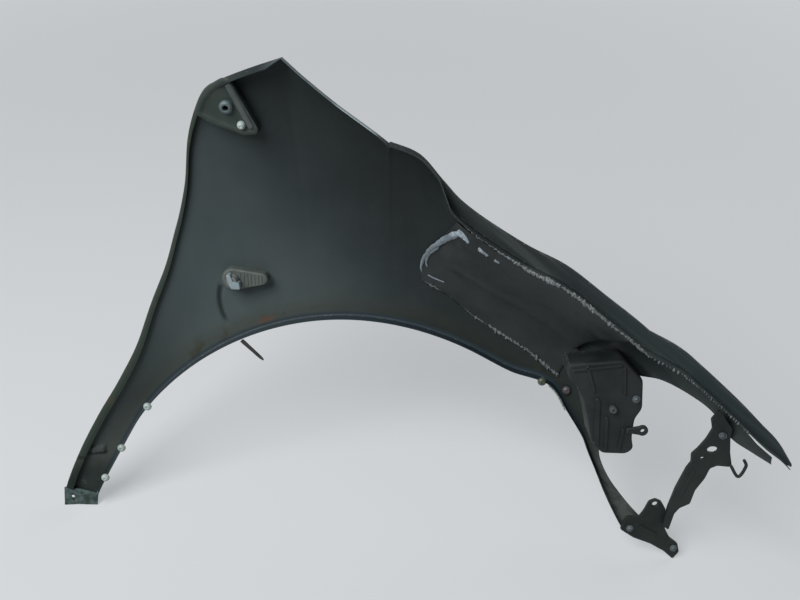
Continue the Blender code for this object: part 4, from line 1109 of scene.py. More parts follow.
# Sealer: whitish body sealer brushed by hand over the rear edge of the closing sheet. It is thick and
# bright at the top, and thins out downwards into two ragged strokes.
SEALER = 0.0075
SEALER_STROKES = (  # places in the side view, then the stroke's width at its two ends as a share of SEALER
    (
        ((0.1215, 0.4745), (0.1080, 0.4590), (0.0935, 0.4440), (0.0850, 0.4305), (0.0812, 0.4180), (0.0822, 0.4080)),
        1.40, 0.24,
    ),
    (((0.1200, 0.4742), (0.1262, 0.4712), (0.1312, 0.4655)), 1.25, 0.45),
    (((0.1010, 0.4470), (0.0905, 0.4350), (0.0868, 0.4240), (0.0885, 0.4160)), 0.70, 0.22),
    (((0.0890, 0.4060), (0.0985, 0.4020), (0.1090, 0.3990)), 0.26, 0.18),
    (((0.1400, 0.4645), (0.1455, 0.4610), (0.1500, 0.4585)), 0.62, 0.40),
    (((0.1560, 0.4560), (0.1610, 0.4535)), 0.36, 0.30),
)


def brushed_stroke(mesh, route, widths, seed, sides=12, flat=0.55, rough=0.35):
    """A closed ragged stroke of sealer on the panel along a route."""
    rings = []
    for k, spot in enumerate(route):
        before, after = route[max(k - 1, 0)], route[min(k + 1, len(route) - 1)]
        along = (after - before).normalized()
        side = along.cross(Vector((0, 1, 0))).normalized()
        up = side.cross(along).normalized()
        if up.y > 0:
            up = -up
        ring = []
        for n in range(sides):
            turn = 2 * pi * n / sides
            jitter = 1 + rough * noise.noise(Vector((spot.x * 190, spot.z * 190, n * 0.9 + seed)))
            jitter += 0.5 * rough * noise.noise(Vector((spot.x * 600, spot.z * 600, n * 1.7 + seed)))
            reach = widths[k] / 2 * max(jitter, 0.15)
            ring.append(mesh.verts.new(spot + side * (reach * cos(turn)) + up * (reach * flat * (0.4 + sin(turn)))))
        rings.append(ring)
    close_up(mesh, rings)


def top_sheet(pieces):
    """Depth of whichever sheet lies on top at a place of the side view."""
    trees = []
    for piece in pieces:
        corners = [vert.co.copy() for vert in piece.data.vertices]
        trees.append(BVHTree.FromPolygons(corners, [face.vertices[:] for face in piece.data.polygons]))
    straight_in = stand.to_3x3() @ Vector((0, 1, 0))

    def depth(x, z):
        start = stand @ Vector((x, -0.4, z))
        found = [tree.ray_cast(start, straight_in)[3] for tree in trees]
        return min(distance for distance in found if distance is not None) - 0.4

    return depth


def sealer_mesh():
    """All brush strokes over the closing sheet's rear corner."""
    mesh = bmesh.new()
    depth = top_sheet((panel, closing))
    for number, (places, wide, thin) in enumerate(SEALER_STROKES):
        line = [row[0] for row in refine([[Vector((x, 0, z))] for x, z in places], 12)]
        route, widths = [], []
        for k, spot in enumerate(line):
            u = k / (len(line) - 1)
            taper = min(1.0, 9 * u + 0.45, 9 * (1 - u) + 0.15)
            widths.append(SEALER * (wide + (thin - wide) * u ** 0.8) * taper)
            spot.y = depth(spot.x, spot.z) - 0.0002 - 0.18 * widths[-1]
            route.append(spot)
        brushed_stroke(mesh, route, widths, 11.0 * number)
    return mesh


def sealer_finish(name, colour, soiled):
    """Dull whitish sealer, dragged by the brush and greyed where it is thin."""
    paste = Finish(name, colour, Roughness=0.7)
    place = surface(paste.tree)
    drag = cloud(mapped(place, Rotation=(0.0, 0.95, 0.0), Scale=(700.0, 700.0, 70.0)), 1.0, 4.0, 0.6)
    dust, _ = paste.lay(soil, Scale=60.0, Amount=0.5, Run=0.3)
    paste.cover(drag.ramp(0.40, 0.66), soiled)
    paste.cover(dust * 0.6, shade(soiled, 0.5))
    # low down the brush ran dry
    paste.cover(axes(place)[2].ramp(0.345, 0.400, 0.80, 0.0), soiled)
    return paste.done(drag, 0.5, 0.0008)


sealer_coat = sealer_finish("brushed_sealer", (0.36, 0.43, 0.48), (0.11, 0.135, 0.155))
sealer = stand_up("closing_sheet_sealer", sealer_mesh(), sealer_coat)
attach(sealer, "root")
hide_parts("reinforcement_sealer")


# Sealer remains: broken crumbs of old sealer along the hood ledge, where they also stand for a painted highlight on
# its edge, and along the closing sheet's lower edge, laid along each seam by one node tree that thins, turns and
# squashes them at random.
LEDGE_START = 73.6
CRUMB_STRAY = 0.0009
LEDGE_MARKS = (  # share of the ledge, width of the crumb there
    (0.00, 0.10), (0.05, 0.10), (0.12, 0.30), (0.20, 0.35), (0.28, 0.5), (0.34, 1.0), (0.46, 1.0), (0.52, 0.7),
    (0.58, 1.1), (0.68, 1.0), (0.76, 0.6), (0.88, 0.7), (1.00, 0.6),
)
LOWER_MARKS = (
    (0.00, 0.2), (0.10, 0.8), (0.17, 0.2), (0.30, 0.1), (0.44, 1.0), (0.50, 0.4), (0.58, 1.3), (0.66, 1.2),
    (0.74, 0.9), (0.86, 1.3), (1.00, 1.1),
)


def placing_tree(name, points, sizes, build):
    """Node tree with named inputs: what `build` makes stands on every point, as plain mesh in its finish."""
    tree = bpy.data.node_groups.new(name, "GeometryNodeTree")
    for label, kind, start in ((points, "Geometry", None), *sizes, ("Finish", "Material", None)):
        socket = tree.interface.new_socket(label, in_out="INPUT", socket_type="NodeSocket" + kind)
        if start is not None:
            socket.default_value = start
    tree.interface.new_socket("Geometry", in_out="OUTPUT", socket_type="NodeSocketGeometry")
    inside, out = tree.nodes.new("NodeGroupInput"), tree.nodes.new("NodeGroupOutput")
    how = build(tree, *(Pattern(inside.outputs[label]) for label, kind, start in sizes))
    lumps = how.pop("Lumps", None)
    placed = node(tree, "GeometryNodeInstanceOnPoints", Points=inside.outputs[points], **how)
    made = node(tree, "GeometryNodeRealizeInstances", Geometry=placed.outputs["Instances"])
    if lumps:
        made = node(tree, "GeometryNodeSetPosition", Geometry=made.outputs["Geometry"], Offset=lumps)
    finish = inside.outputs["Finish"]
    dressed = node(tree, "GeometryNodeSetMaterial", Geometry=made.outputs["Geometry"], Material=finish)
    fill(out.inputs["Geometry"], dressed.outputs["Geometry"])
    return tree


def stored(tree, name, kind="FLOAT"):
    """A value stored on each point."""
    return Pattern(node(tree, "GeometryNodeInputNamedAttribute", {"data_type": kind}, Name=name).outputs[0])


def stretched(vector, share):
    """A vector made longer or shorter."""
    made = node(vector.id_data, "ShaderNodeVectorMath", {"operation": "SCALE"}, Vector=vector, Scale=share)
    return made.outputs["Vector"]


def sealer_crumb(tree, crumb, unevenness, seed):
    """A ball turned and squashed at random, and made lumpy where it lies."""
    ball = node(tree, "GeometryNodeMeshIcoSphere", Radius=0.5, Subdivisions=2)
    any_of = "FunctionNodeRandomValue", {"data_type": "FLOAT_VECTOR"}
    turn = node(tree, *any_of, Max=(6.283, 6.283, 6.283), Seed=seed)
    squash = node(tree, *any_of, Min=(0.45, 0.35, 0.45), Max=(1.7, 0.8, 1.2), Seed=seed)
    place = node(tree, "GeometryNodeInputPosition").outputs["Position"]
    lump = node(tree, "ShaderNodeTexNoise", Vector=place, Scale=420.0, Detail=2.0)
    centred = node(tree, "ShaderNodeVectorMath", {"operation": "SUBTRACT"}, Vector=lump.outputs["Color"])
    centred.inputs[1].default_value = (0.5, 0.5, 0.5)
    return {
        "Instance": ball.outputs["Mesh"],
        "Rotation": turn.outputs[0],
        "Scale": stretched(squash.outputs[0], stored(tree, "width") * crumb),
        "Lumps": stretched(centred.outputs["Vector"], crumb * unevenness),
    }


def grow(piece, tree, **values):
    """Runs a node tree on a piece with its named inputs and keeps what it makes as a plain mesh."""
    change = piece.modifiers.new("Tree", "NODES")
    change.node_group = tree
    for item in tree.interface.items_tree:
        if item.in_out == "INPUT" and item.name in values:
            change[item.identifier] = values[item.name]
    return settle(piece)


def seam_points(mesh, route, marks, count, lift):
    """Points along a seam, each with its width."""
    layer = mesh.verts.layers.float["width"]
    for k in range(count + 1):
        share = k / count
        spot = on_line(route, share)
        stray = Vector([noise.noise(spot * 400 + Vector((off, 0, 0))) for off in (0, 37, 71)]) * CRUMB_STRAY
        vert = mesh.verts.new(spot + stray + Vector((0, -lift, 0)))
        ragged = 0.55 + 0.9 * abs(noise.noise(spot * 260 + Vector((3, 0, 1))))
        vert[layer] = straight(marks, share)[0] * ragged


def nose_ledge_edge():
    """The ledge's inboard edge from the closing sheet's start to the fork of the nose."""
    sections = []
    for k in range(33):
        cage = panel_cage(LEDGE_START + (HOOD_EDGE[-1][0] - LEDGE_START) * k / 32)
        sections.append((cage[0], cage[3], 1.0))
    for low, high, fade in list(zip(NOSE_LOWER, NOSE_UPPER, NOSE_FADES))[:4]:
        sections.append((Vector(low), Vector(high), fade))
    route = []
    for low, high, fade in sections:
        step, ledge = folded_edge(across_of(low, high), HOOD_FOLD, fade)
        route.append(high + step + ledge)
    return route


def crumb_seams():
    """Both seams as loose points."""
    mesh = bmesh.new()
    mesh.verts.layers.float.new("width")
    # along the ledge the pale crumbs also make a painted highlight on the ledge's edge
    seam_points(mesh, nose_ledge_edge(), LEDGE_MARKS, 330, 0.0002)
    lower = [spot + Vector((0.0, -CLOSING_SHEET, 0.0012)) for spot in on_skin(CLOSING_LOWER)]
    seam_points(mesh, lower, LOWER_MARKS, 120, 0.0004)
    return mesh


crumb_coat = sealer_finish("old_sealer", (0.180, 0.200, 0.210), (0.085, 0.095, 0.100))
crumbs = stand_up("sealer_remains", crumb_seams(), crumb_coat)
crumb_sizes = (("Crumb", "Float", 0.003), ("Unevenness", "Float", 0.5), ("Seed", "Int", 4))
crumb_tree = placing_tree("sealer_crumbs", "Seam", crumb_sizes, sealer_crumb)
grow(crumbs, crumb_tree, Crumb=0.0050, Unevenness=0.4, Seed=7, Finish=crumb_coat)
crumbs.data.shade_smooth()
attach(crumbs, "root")


# Headlamp side bracket: one dark moulding behind the headlamp opening, with a rounded front wall, raised
# guide ribs, a locating boss and two feet that stand on the panel. Its back is an open pocket.
BLOCK_OUTLINE = (
    (0.2385, 0.341), (0.300, 0.346), (0.3225, 0.322), (0.325, 0.287), (0.3175, 0.274), (0.3165, 0.250),
    (0.3195, 0.2365), (0.312, 0.230), (0.284, 0.231), (0.271, 0.246), (0.265, 0.2735), (0.2590, 0.296),
    (0.2495, 0.3155), (0.241, 0.3235),
)
BLOCK_BACK = -0.094
BLOCK_DEPTH = 0.034
BLOCK_WALL = 0.003
BLOCK_FEET = ((0.262, 0.324), (0.2755, 0.284))
BLOCK_FOOT = 0.012
BLOCK_RIBS = (  # start, end and width of each raised rib on the front wall
    ((0.2740, 0.298), (0.2765, 0.243), 0.0052), ((0.2855, 0.276), (0.2870, 0.238), 0.0034),
    ((0.2600, 0.338), (0.2690, 0.310), 0.0030), ((0.3005, 0.337), (0.3030, 0.306), 0.0026),
    ((0.2450, 0.3345), (0.2960, 0.3405), 0.0026), ((0.3050, 0.262), (0.3020, 0.238), 0.0030),
)
BLOCK_RIB_RISE = 0.0022
STUD_AT = (0.291, 0.289)
STUD = 0.009
STUD_HEIGHT = 0.008
CLIP_AT = (0.3265, 0.2615)
CLIP_RING = 0.0125
CLIP_HOLE = 0.005
CLIP_THICKNESS = 0.003
CLIP_TAIL = ((-1.4, 0.2), (-1.4, -0.2))  # the eye's tail under the moulding, in widths of the eye
SET_OFF = 0.0003


def slab(outline, layers):
    """A closed moulded slab: the outline drawn in by a width at each depth, front to back."""
    mesh = bmesh.new()
    rings = []
    for width, depth in layers:
        line = inset(outline, width) if width else outline
        rings.append([mesh.verts.new((x, depth(x, z) if callable(depth) else depth, z)) for x, z in line])
    close_up(mesh, rings)
    return mesh


def join_meshes(*meshes):
    """Several closed meshes as one."""
    joined = bmesh.new()
    joined.verts.layers.float.new("bend")
    for mesh in meshes:
        if mesh.verts.layers.float.get("bend") is None:
            mark_bends(mesh, 35.0)
        data = bpy.data.meshes.new("part")
        mesh.to_mesh(data)
        mesh.free()
        joined.from_mesh(data)
        bpy.data.meshes.remove(data)
    return joined


def moulding(outline, near, depth, edge, count=3):
    """Layers of a moulding whose front edge is rounded."""
    layers = [(edge + 0.0012, near)]
    for k in range(count + 1):
        turn = pi / 2 * k / count
        layers.append((edge * (1 - sin(turn)), near + edge * (1 - cos(turn))))
    return slab(outline, layers + [(0.0, near + depth)])


block_line = eased(BLOCK_OUTLINE, 0.0045, 3)
block_front = BLOCK_BACK - BLOCK_DEPTH
black_plastic = coated_finish(
    "black_moulded_plastic", (0.0095, 0.0125, 0.0135), (0.060, 0.068, 0.070), 0.52, 1500.0, 0.46, 0.2, 0.6,
)
block_mesh = join_meshes(moulding(block_line, block_front, BLOCK_DEPTH, 0.003))
block = stand_up("headlamp_bracket_moulding", block_mesh, black_plastic)
cut(block, solid_outline(inset(block_line, 1.3 * BLOCK_WALL), block_front + BLOCK_WALL, BLOCK_BACK + 0.01))
extras = []
for rib in BLOCK_RIBS:
    extras.append(moulding(bar_outline(*rib), block_front - BLOCK_RIB_RISE, BLOCK_RIB_RISE + 0.001, 0.0006, 2))
for x, z in BLOCK_FEET:
    far = min(skin_depth(*spot) for spot in round_line((x, z), BLOCK_FOOT, 4)) - SEAT_GAP
    near, reach = block_front + 0.002, BLOCK_FOOT / 2
    post = ((0, far), (0.92 * reach, far), (reach, far - 0.0006), (reach, near), (0, near))
    extras.append(turned_mesh(post, Matrix.Translation((x, 0, z)) @ Matrix.Rotation(-pi / 2, 4, "X"), 24))
ribs = stand_up("headlamp_bracket_ribs", join_meshes(*extras), black_plastic)
for piece in (block, ribs):
    sharp_beyond(piece, 45)
    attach(piece, "root")
    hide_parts("headlamp_side_bracket")

pale_plastic = coated_finish(
    "scuffed_black_plastic", (0.035, 0.042, 0.040), (0.10, 0.11, 0.10), 0.5, 1500.0, 0.4, 0.4, 0.6,
)
boss = sized(STUD, STUD_HEIGHT, (
    (0, 0.7), (0.12, 0.7), (0.14, 0.9625), (0.18, 1.0), (0.34, 1.0), (0.42, 0.93), (0.5, 0.72), (0.5, 0), (0, 0),
))
inboard = (0, -1, 0)
boss_mesh = turned_mesh(boss, facing((STUD_AT[0], block_front - SET_OFF, STUD_AT[1]), inboard))
stud = stand_up("headlamp_bracket_boss", boss_mesh, pale_plastic)
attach(stud, "root")
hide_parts("headlamp_bracket_stud")

x, z = CLIP_AT
turns = [radians(a) for a in range(-125, 126, 10)]
eye = [(x + CLIP_RING / 2 * cos(a), z + CLIP_RING / 2 * sin(a)) for a in turns]
eye += [(x + CLIP_RING * back, z + CLIP_RING * side) for back, side in CLIP_TAIL]
clip_front = block_front - SET_OFF - CLIP_THICKNESS
clip_mesh = join_meshes(moulding(eye, clip_front, CLIP_THICKNESS, 0.0007, 2))
clip = stand_up("headlamp_bracket_eye", clip_mesh, black_plastic)
cut(clip, solid_outline(round_line(CLIP_AT, CLIP_HOLE, 12), clip_front - 0.01, block_front + 0.01))
sharp_beyond(clip, 45)
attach(clip, "root")
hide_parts("headlamp_bracket_clip")


# Headlamp strut: a stamped and black-coated steel strut from the nose down to the lower bracket, with two
# holes near its upper end, a pressed stiffening channel and a bent wire hook that is clamped to it.
STRUT_THICKNESS = 0.005
STRUT_OUTLINE = (
    (0.399, 0.300), (0.394, 0.286), (0.398, 0.273), (0.395, 0.257), (0.390, 0.242), (0.385, 0.231),
    (0.387, 0.219), (0.384, 0.209), (0.379, 0.173), (0.377, 0.141), (0.3765, 0.108), (0.384, 0.102),
    (0.385, 0.131), (0.389, 0.143), (0.398, 0.153), (0.399, 0.176), (0.405, 0.198), (0.407, 0.215),
    (0.414, 0.222), (0.427, 0.223), (0.421, 0.243), (0.4165, 0.2645), (0.416, 0.277),
)
STRUT_LEAN = -0.35
STRUT_HOLES = (((0.4035, 0.243), 0.011), ((0.3965, 0.228), 0.005))
STRUT_CHANNEL = ((0.3935, 0.214), (0.3860, 0.160), 0.0045)
HOOK_WIRE = 0.0036
HOOK_ROUTE = ((0.424, 0.226), (0.434, 0.212), (0.441, 0.225), (0.438, 0.233))
CORNER_THICKNESS = 0.003
CORNER_DEPTH = -0.0800


def strut_depth(x, z):
    """Depth of the strut's outboard face, which runs from the nose edge to the lower bracket."""
    near, far = Vector(NOSE_LOWER[3]), Vector(NOSE_LOWER[4])
    top_x, top_z = STRUT_OUTLINE[-2]
    top = near.lerp(far, (top_x - near.x) / (far.x - near.x)).y - SEAT_GAP
    foot_x, foot_z = STRUT_OUTLINE[10]
    foot = CORNER_DEPTH - CORNER_THICKNESS - SET_OFF
    fall = (top - foot - STRUT_LEAN * (top_x - foot_x)) / (top_z - foot_z)
    return top + STRUT_LEAN * (x - top_x) + fall * (z - top_z)


def stamped(outline, depth, thickness, edge):
    """A closed stamped plate with eased edges on a face given by its outboard depth."""
    layers = (  # how far each ring is drawn in, and how far it lies inboard of that face
        (edge + 0.0014, thickness), (edge, thickness), (0.3 * edge, thickness - 0.3 * edge), (0.0, thickness - edge),
        (0.0, 0.5 * edge), (0.5 * edge, 0.0),
    )
    line = eased(outline, 0.0022, 3)
    mesh = slab(line, [(width, lambda x, z, off=off: depth(x, z) - off) for width, off in layers])
    bmesh.ops.triangulate(mesh, faces=[face for face in mesh.faces if len(face.verts) > 4])
    mark_bends(mesh, 30.0)
    return mesh


def channel_mesh(start, end, width):
    """A half-round raised line along the strut's face, tapered at its ends."""
    mesh = bmesh.new()
    turns = [pi * n / 6 for n in range(12)]
    rings = []
    for k in range(13):
        u = k / 12
        x, z = start[0] + (end[0] - start[0]) * u, start[1] + (end[1] - start[1]) * u
        reach = width / 2 * min(1.0, 6 * u + 0.2, 6 * (1 - u) + 0.2)
        face = strut_depth(x, z) - STRUT_THICKNESS + 0.0002
        rings.append([mesh.verts.new((x + reach * cos(a), face - 0.5 * reach * sin(a), z)) for a in turns])
    close_up(mesh, rings)
    return mesh


black_steel = coated_finish(
    "black_coated_steel", (0.0055, 0.0098, 0.0086), (0.070, 0.080, 0.072), 0.48, 900.0, 0.42, 0.18, 0.5,
)
strut_mesh = stamped(STRUT_OUTLINE, strut_depth, STRUT_THICKNESS, 0.0008)
strut = stand_up("headlamp_strut_stamping", strut_mesh, black_steel)
for hole in STRUT_HOLES:
    cut(strut, solid_outline(round_line(*hole), -0.25, -0.05))
rib = stand_up("headlamp_strut_rib", join_meshes(channel_mesh(*STRUT_CHANNEL)), black_steel)
for piece in (strut, rib):
    sharp_beyond(piece, 45)
    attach(piece, "root")
    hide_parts("headlamp_strut")


def wire_mesh(route, width, sides=12):
    """Round wire along smooth bends through the points of a route, with domed ends."""
    smooth_route = [row[0] for row in refine([[spot] for spot in route], 7)]
    ends = (smooth_route[0] - smooth_route[1]).normalized(), (smooth_route[-1] - smooth_route[-2]).normalized()
    spots = [(smooth_route[0] + ends[0] * 0.3 * width, 0.45)] + [(spot, 1.0) for spot in smooth_route]
    spots.append((smooth_route[-1] + ends[1] * 0.3 * width, 0.45))
    mesh = bmesh.new()
    turns = [2 * pi * n / sides for n in range(sides)]
    rings = []
    for k, (spot, share) in enumerate(spots):
        along = (spots[min(k + 1, len(spots) - 1)][0] - spots[max(k - 1, 0)][0]).normalized()
        side = along.cross(Vector((0, 1, 0))).normalized()
        up = side.cross(along)
        rings.append([mesh.verts.new(spot + (side * cos(a) + up * sin(a)) * (width / 2 * share)) for a in turns])
    close_up(mesh, rings)
    return join_meshes(mesh)


hook_depth = strut_depth(*HOOK_ROUTE[0]) - STRUT_THICKNESS - 0.0012 - HOOK_WIRE / 2
hook_mesh = wire_mesh([Vector((x, hook_depth, z)) for x, z in HOOK_ROUTE], HOOK_WIRE)
hook = stand_up("strut_wire_hook", hook_mesh, black_steel)
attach(hook, "root")
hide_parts("strut_hook_clip")


# Lower corner bracket: stamped from 3 mm steel and coated black. An ear with a bolt hole stands up from it,
# and its pointed foot is the second place on which the fender stands.
CORNER_OUTLINE = (
    (0.3270, 0.0990), (0.344, 0.087), (0.366, 0.078), (0.384, 0.067), (0.396, 0.0558), (0.403, 0.066),
    (0.400, 0.078), (0.389, 0.087), (0.382, 0.100), (0.380, 0.128), (0.3735, 0.139), (0.366, 0.1425),
    (0.3585, 0.139), (0.354, 0.127), (0.349, 0.118), (0.333, 0.117),
)
CORNER_EAR_AT = (0.366, 0.1355)
CORNER_EAR_HOLE = 0.007
CORNER_SLOT = ((0.352, 0.103), (0.370, 0.0925), 0.0042)
CORNER_COLLAR = (
    (0.0037, 0.0008), (0.0040, 0.0010), (0.0052, 0.0010), (0.0057, 0.0004), (0.0058, -0.0004), (0.0037, -0.0004),
)
corner_mesh = stamped(CORNER_OUTLINE, lambda x, z: CORNER_DEPTH, CORNER_THICKNESS, 0.0006)
corner = stand_up("lower_bracket_stamping", corner_mesh, black_steel)
cut(corner, solid_outline(round_line(CORNER_EAR_AT, CORNER_EAR_HOLE), CORNER_DEPTH - 0.02, CORNER_DEPTH + 0.02))
corner_face = CORNER_DEPTH - CORNER_THICKNESS
ridge = moulding(bar_outline(*CORNER_SLOT, 6), corner_face - 0.0014, 0.0018, 0.0010, 3)
ear = turned_mesh(CORNER_COLLAR, facing((CORNER_EAR_AT[0], corner_face, CORNER_EAR_AT[1]), inboard))
corner_relief = stand_up("lower_bracket_relief", join_meshes(ridge, ear), black_steel)
for piece in (corner, corner_relief):
    sharp_beyond(piece, 45)
    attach(piece, "root")
    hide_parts("lower_corner_bracket")


# Screws: zinc-plated flange screws with a cross recess, one in the moulding, one in the strut and two in the
# lower bracket. One node tree builds the head and sets it on each seat, square to the face under it.
SCREW_HEAD = 0.009
BLOCK_SCREW_AT = (0.3165, 0.2995)
STRUT_SCREW_AT = (0.4085, 0.267)
CORNER_SCREWS = ((0.3385, 0.101), (0.395, 0.072))


def round_seats(seats):
    """Loose points, each with the direction that its piece faces."""
    mesh = bmesh.new()
    layer = mesh.verts.layers.float_vector.new("facing")
    for spot, direction in seats:
        mesh.verts.new(spot)[layer] = stand.to_3x3() @ Vector(direction)
    return mesh


def fastener_tree(name, label, width, build):
    """Node tree: one round piece on every seat and square to it."""

    def seated(tree, size):
        toward = stored(tree, "facing", "FLOAT_VECTOR")
        turn = node(tree, "FunctionNodeAlignRotationToVector", {"axis": "Z"}, Vector=toward)
        return {"Instance": build(tree, size), "Rotation": turn.outputs["Rotation"]}

    return placing_tree(name, "Seats", ((label, "Float", width),), seated)


def spaced(tree, **sides):
    """A vector from its sides."""
    return node(tree, "ShaderNodeCombineXYZ", **sides).outputs["Vector"]


def lathe_nodes(tree, size, profile, sides=24):
    """A turned piece inside a node tree: cones stacked from (radius, height) shares of one size."""
    joined = tree.nodes.new("GeometryNodeJoinGeometry")
    for (wide, low), (narrow, high) in zip(profile, profile[1:]):
        cone = node(
            tree, "GeometryNodeMeshCone", {"fill_type": "NONE"}, Vertices=sides, Radius_Bottom=size * wide,
            Radius_Top=size * narrow, Depth=size * (high - low),
        )
        lift = spaced(tree, Z=size * low)
        moved = node(tree, "GeometryNodeTransform", Geometry=cone.outputs["Mesh"], Translation=lift)
        fill(joined.inputs[0], moved.outputs["Geometry"])
    merged = node(tree, "GeometryNodeMergeByDistance", Geometry=joined.outputs["Geometry"], Distance=0.00004)
    return merged.outputs["Geometry"]


def screw_head(tree, size):
    """Washer flange, domed head and a cross recess."""
    head = lathe_nodes(tree, size, (
        (0.020, 0.0), (0.50, 0.001), (0.50, 0.10), (0.47, 0.14), (0.38, 0.16), (0.37, 0.26), (0.31, 0.36),
        (0.20, 0.42), (0.10, 0.445), (0.004, 0.45),
    ))
    for wide, deep in ((0.40, 0.085), (0.085, 0.40)):
        arm = node(tree, "GeometryNodeMeshCube", Size=spaced(tree, X=size * wide, Y=size * deep, Z=size * 0.30))
        sunk = spaced(tree, Z=size * 0.44)
        arm = node(tree, "GeometryNodeTransform", Geometry=arm.outputs["Mesh"], Translation=sunk)
        exact = {"operation": "DIFFERENCE", "solver": "EXACT"}
        recess = node(tree, "GeometryNodeMeshBoolean", exact, Mesh_1=head, Mesh_2=arm.outputs["Geometry"])
        head = recess.outputs["Mesh"]
    return head


x, z = STRUT_SCREW_AT
strut_seat = Vector((x, strut_depth(x, z) - STRUT_THICKNESS, z))
strut_side = Vector((1, strut_depth(x + 1, z) - strut_depth(x, z), 0))
strut_up = Vector((0, strut_depth(x, z + 1) - strut_depth(x, z), 1))
strut_face = strut_side.cross(strut_up).normalized()
seats = [
    ((BLOCK_SCREW_AT[0], block_front - SET_OFF, BLOCK_SCREW_AT[1]), inboard),
    (strut_seat + strut_face * SET_OFF, strut_face),
]
seats += [((x, corner_face - SET_OFF, z), inboard) for x, z in CORNER_SCREWS]
screw_tree = fastener_tree("flange_screws", "Head", SCREW_HEAD, screw_head)
screws = stand_up("flange_screws", round_seats(seats), zinc)
grow(screws, screw_tree, Head=SCREW_HEAD, Finish=zinc)
screws.data.shade_smooth()
sharp_beyond(screws, 40)
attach(screws, "root")
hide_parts("headlamp_bracket_screw", "strut_screw", "corner_screw_rear", "corner_screw_front")


# Wheel-arch liner grommets: nylon push-in heads in the arch lip, three white ones at the rear and an aged
# yellow one in front, with a pinkish plug beside the moulding. The same node tree makes them all.
GROMMET = 0.0105
GROMMET_BEARINGS = (139.2, 150.6, 158.6)
FRONT_BEARING = 51.4
PLUG_BEARING = 46.31
PLUG_ABOVE_ARCH = 0.025


def grommet_head(tree, size):
    """A low domed head with a round recess where the pin is pushed in."""
    return lathe_nodes(tree, size, (
        (0.020, 0.0), (0.50, 0.001), (0.50, 0.07), (0.47, 0.17), (0.40, 0.27), (0.30, 0.34), (0.22, 0.375),
        (0.19, 0.380), (0.17, 0.372), (0.15, 0.30), (0.06, 0.295), (0.004, 0.32),
    ))


def lip_seats(bearings):
    """Seats on the free edge of the arch lip."""
    found = []
    for bearing in bearings:
        spot = lip_point(bearing)
        spot.y = min(lip_point(bearing + off).y for off in (-0.8, 0.8)) - LIP_RETURN - SEAT_GAP
        found.append((spot, inboard))
    return found


plug_spot = polar(PLUG_BEARING, ARCH_RADIUS + PLUG_ABOVE_ARCH)
rim_spots = round_line((plug_spot.x, plug_spot.z), GROMMET, 12)
plug_spot.y = min(skin_depth(x, z) for x, z in rim_spots) - SEAT_GAP
# the front grommet's yellow is painted much darker, as painted shade towards the nose, on top of its aged tone
yellow_nylon = nylon_finish("yellow_nylon_moulding", (0.066, 0.078, 0.050), (0.040, 0.044, 0.026))
pink_nylon = nylon_finish("pink_nylon_moulding", (0.075, 0.066, 0.070), (0.045, 0.038, 0.040))
grommet_tree = fastener_tree("liner_grommets", "Width", GROMMET, grommet_head)
rear_nodes = ("liner_grommet_1", "liner_grommet_2", "liner_grommet_3")
for name, places, nylon, slot, nodes in (
    ("rear_liner_grommets", lip_seats(GROMMET_BEARINGS), white_nylon, "white_nylon", rear_nodes),
    ("front_liner_grommet", lip_seats([FRONT_BEARING]), yellow_nylon, "yellow_nylon", ("liner_grommet_front",)),
    ("liner_push_plug", [(plug_spot, inboard)], pink_nylon, "pink_nylon", ("liner_plug",)),
):
    grommets = stand_up(name, round_seats(places), nylon)
    grow(grommets, grommet_tree, Width=GROMMET, Finish=nylon)
    grommets.data.shade_smooth()
    sharp_beyond(grommets, 50)
    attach(grommets, "root")
    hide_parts(*nodes)


# Arch edge clip: a thin bright strip of plated spring steel pushed up under the front end of the arch lip.
# The brown rubber tongue under the lamp is a torn-off edge of liner seal that hangs from the lip.
EDGE_CLIP_FIRST, EDGE_CLIP_LAST = 49.6, 44.2
EDGE_CLIP_THICKNESS = 0.0015
EDGE_CLIP_ROWS = (1.10, 1.02, 0.8, 0.5, 0.3, 0.2)  # shares of the lip's return
TAB_BEARING = 113.9
TAB_LENGTH = 0.034
TAB_WIDTH = 0.0048
TAB_THICKNESS = 0.002
TAB_SLOPE = -46.0

edge_strip = bmesh.new()
rows = []
for k in range(37):
    bearing = EDGE_CLIP_FIRST + (EDGE_CLIP_LAST - EDGE_CLIP_FIRST) * k / 36
    under = lip_point(bearing) - polar(bearing, SHEET + SEAT_GAP)
    wave = 0.0003 * sin(k * 1.3)
    rows.append([edge_strip.verts.new(under + Vector((0, wave - share * LIP_RETURN, 0))) for share in EDGE_CLIP_ROWS])
for left, right in zip(rows, rows[1:]):
    strip(edge_strip, left, right)
rubbed_spring = plated_finish("rubbed_spring_steel", (0.30, 0.37, 0.32), 0.45, 0.4, 0.5)
edge_clip = stand_up("arch_edge_strip", join_meshes(edge_strip), rubbed_spring)
sheet(edge_clip, EDGE_CLIP_THICKNESS)
sharp_beyond(edge_clip, 40)
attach(edge_clip, "root")
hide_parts("arch_edge_clip")

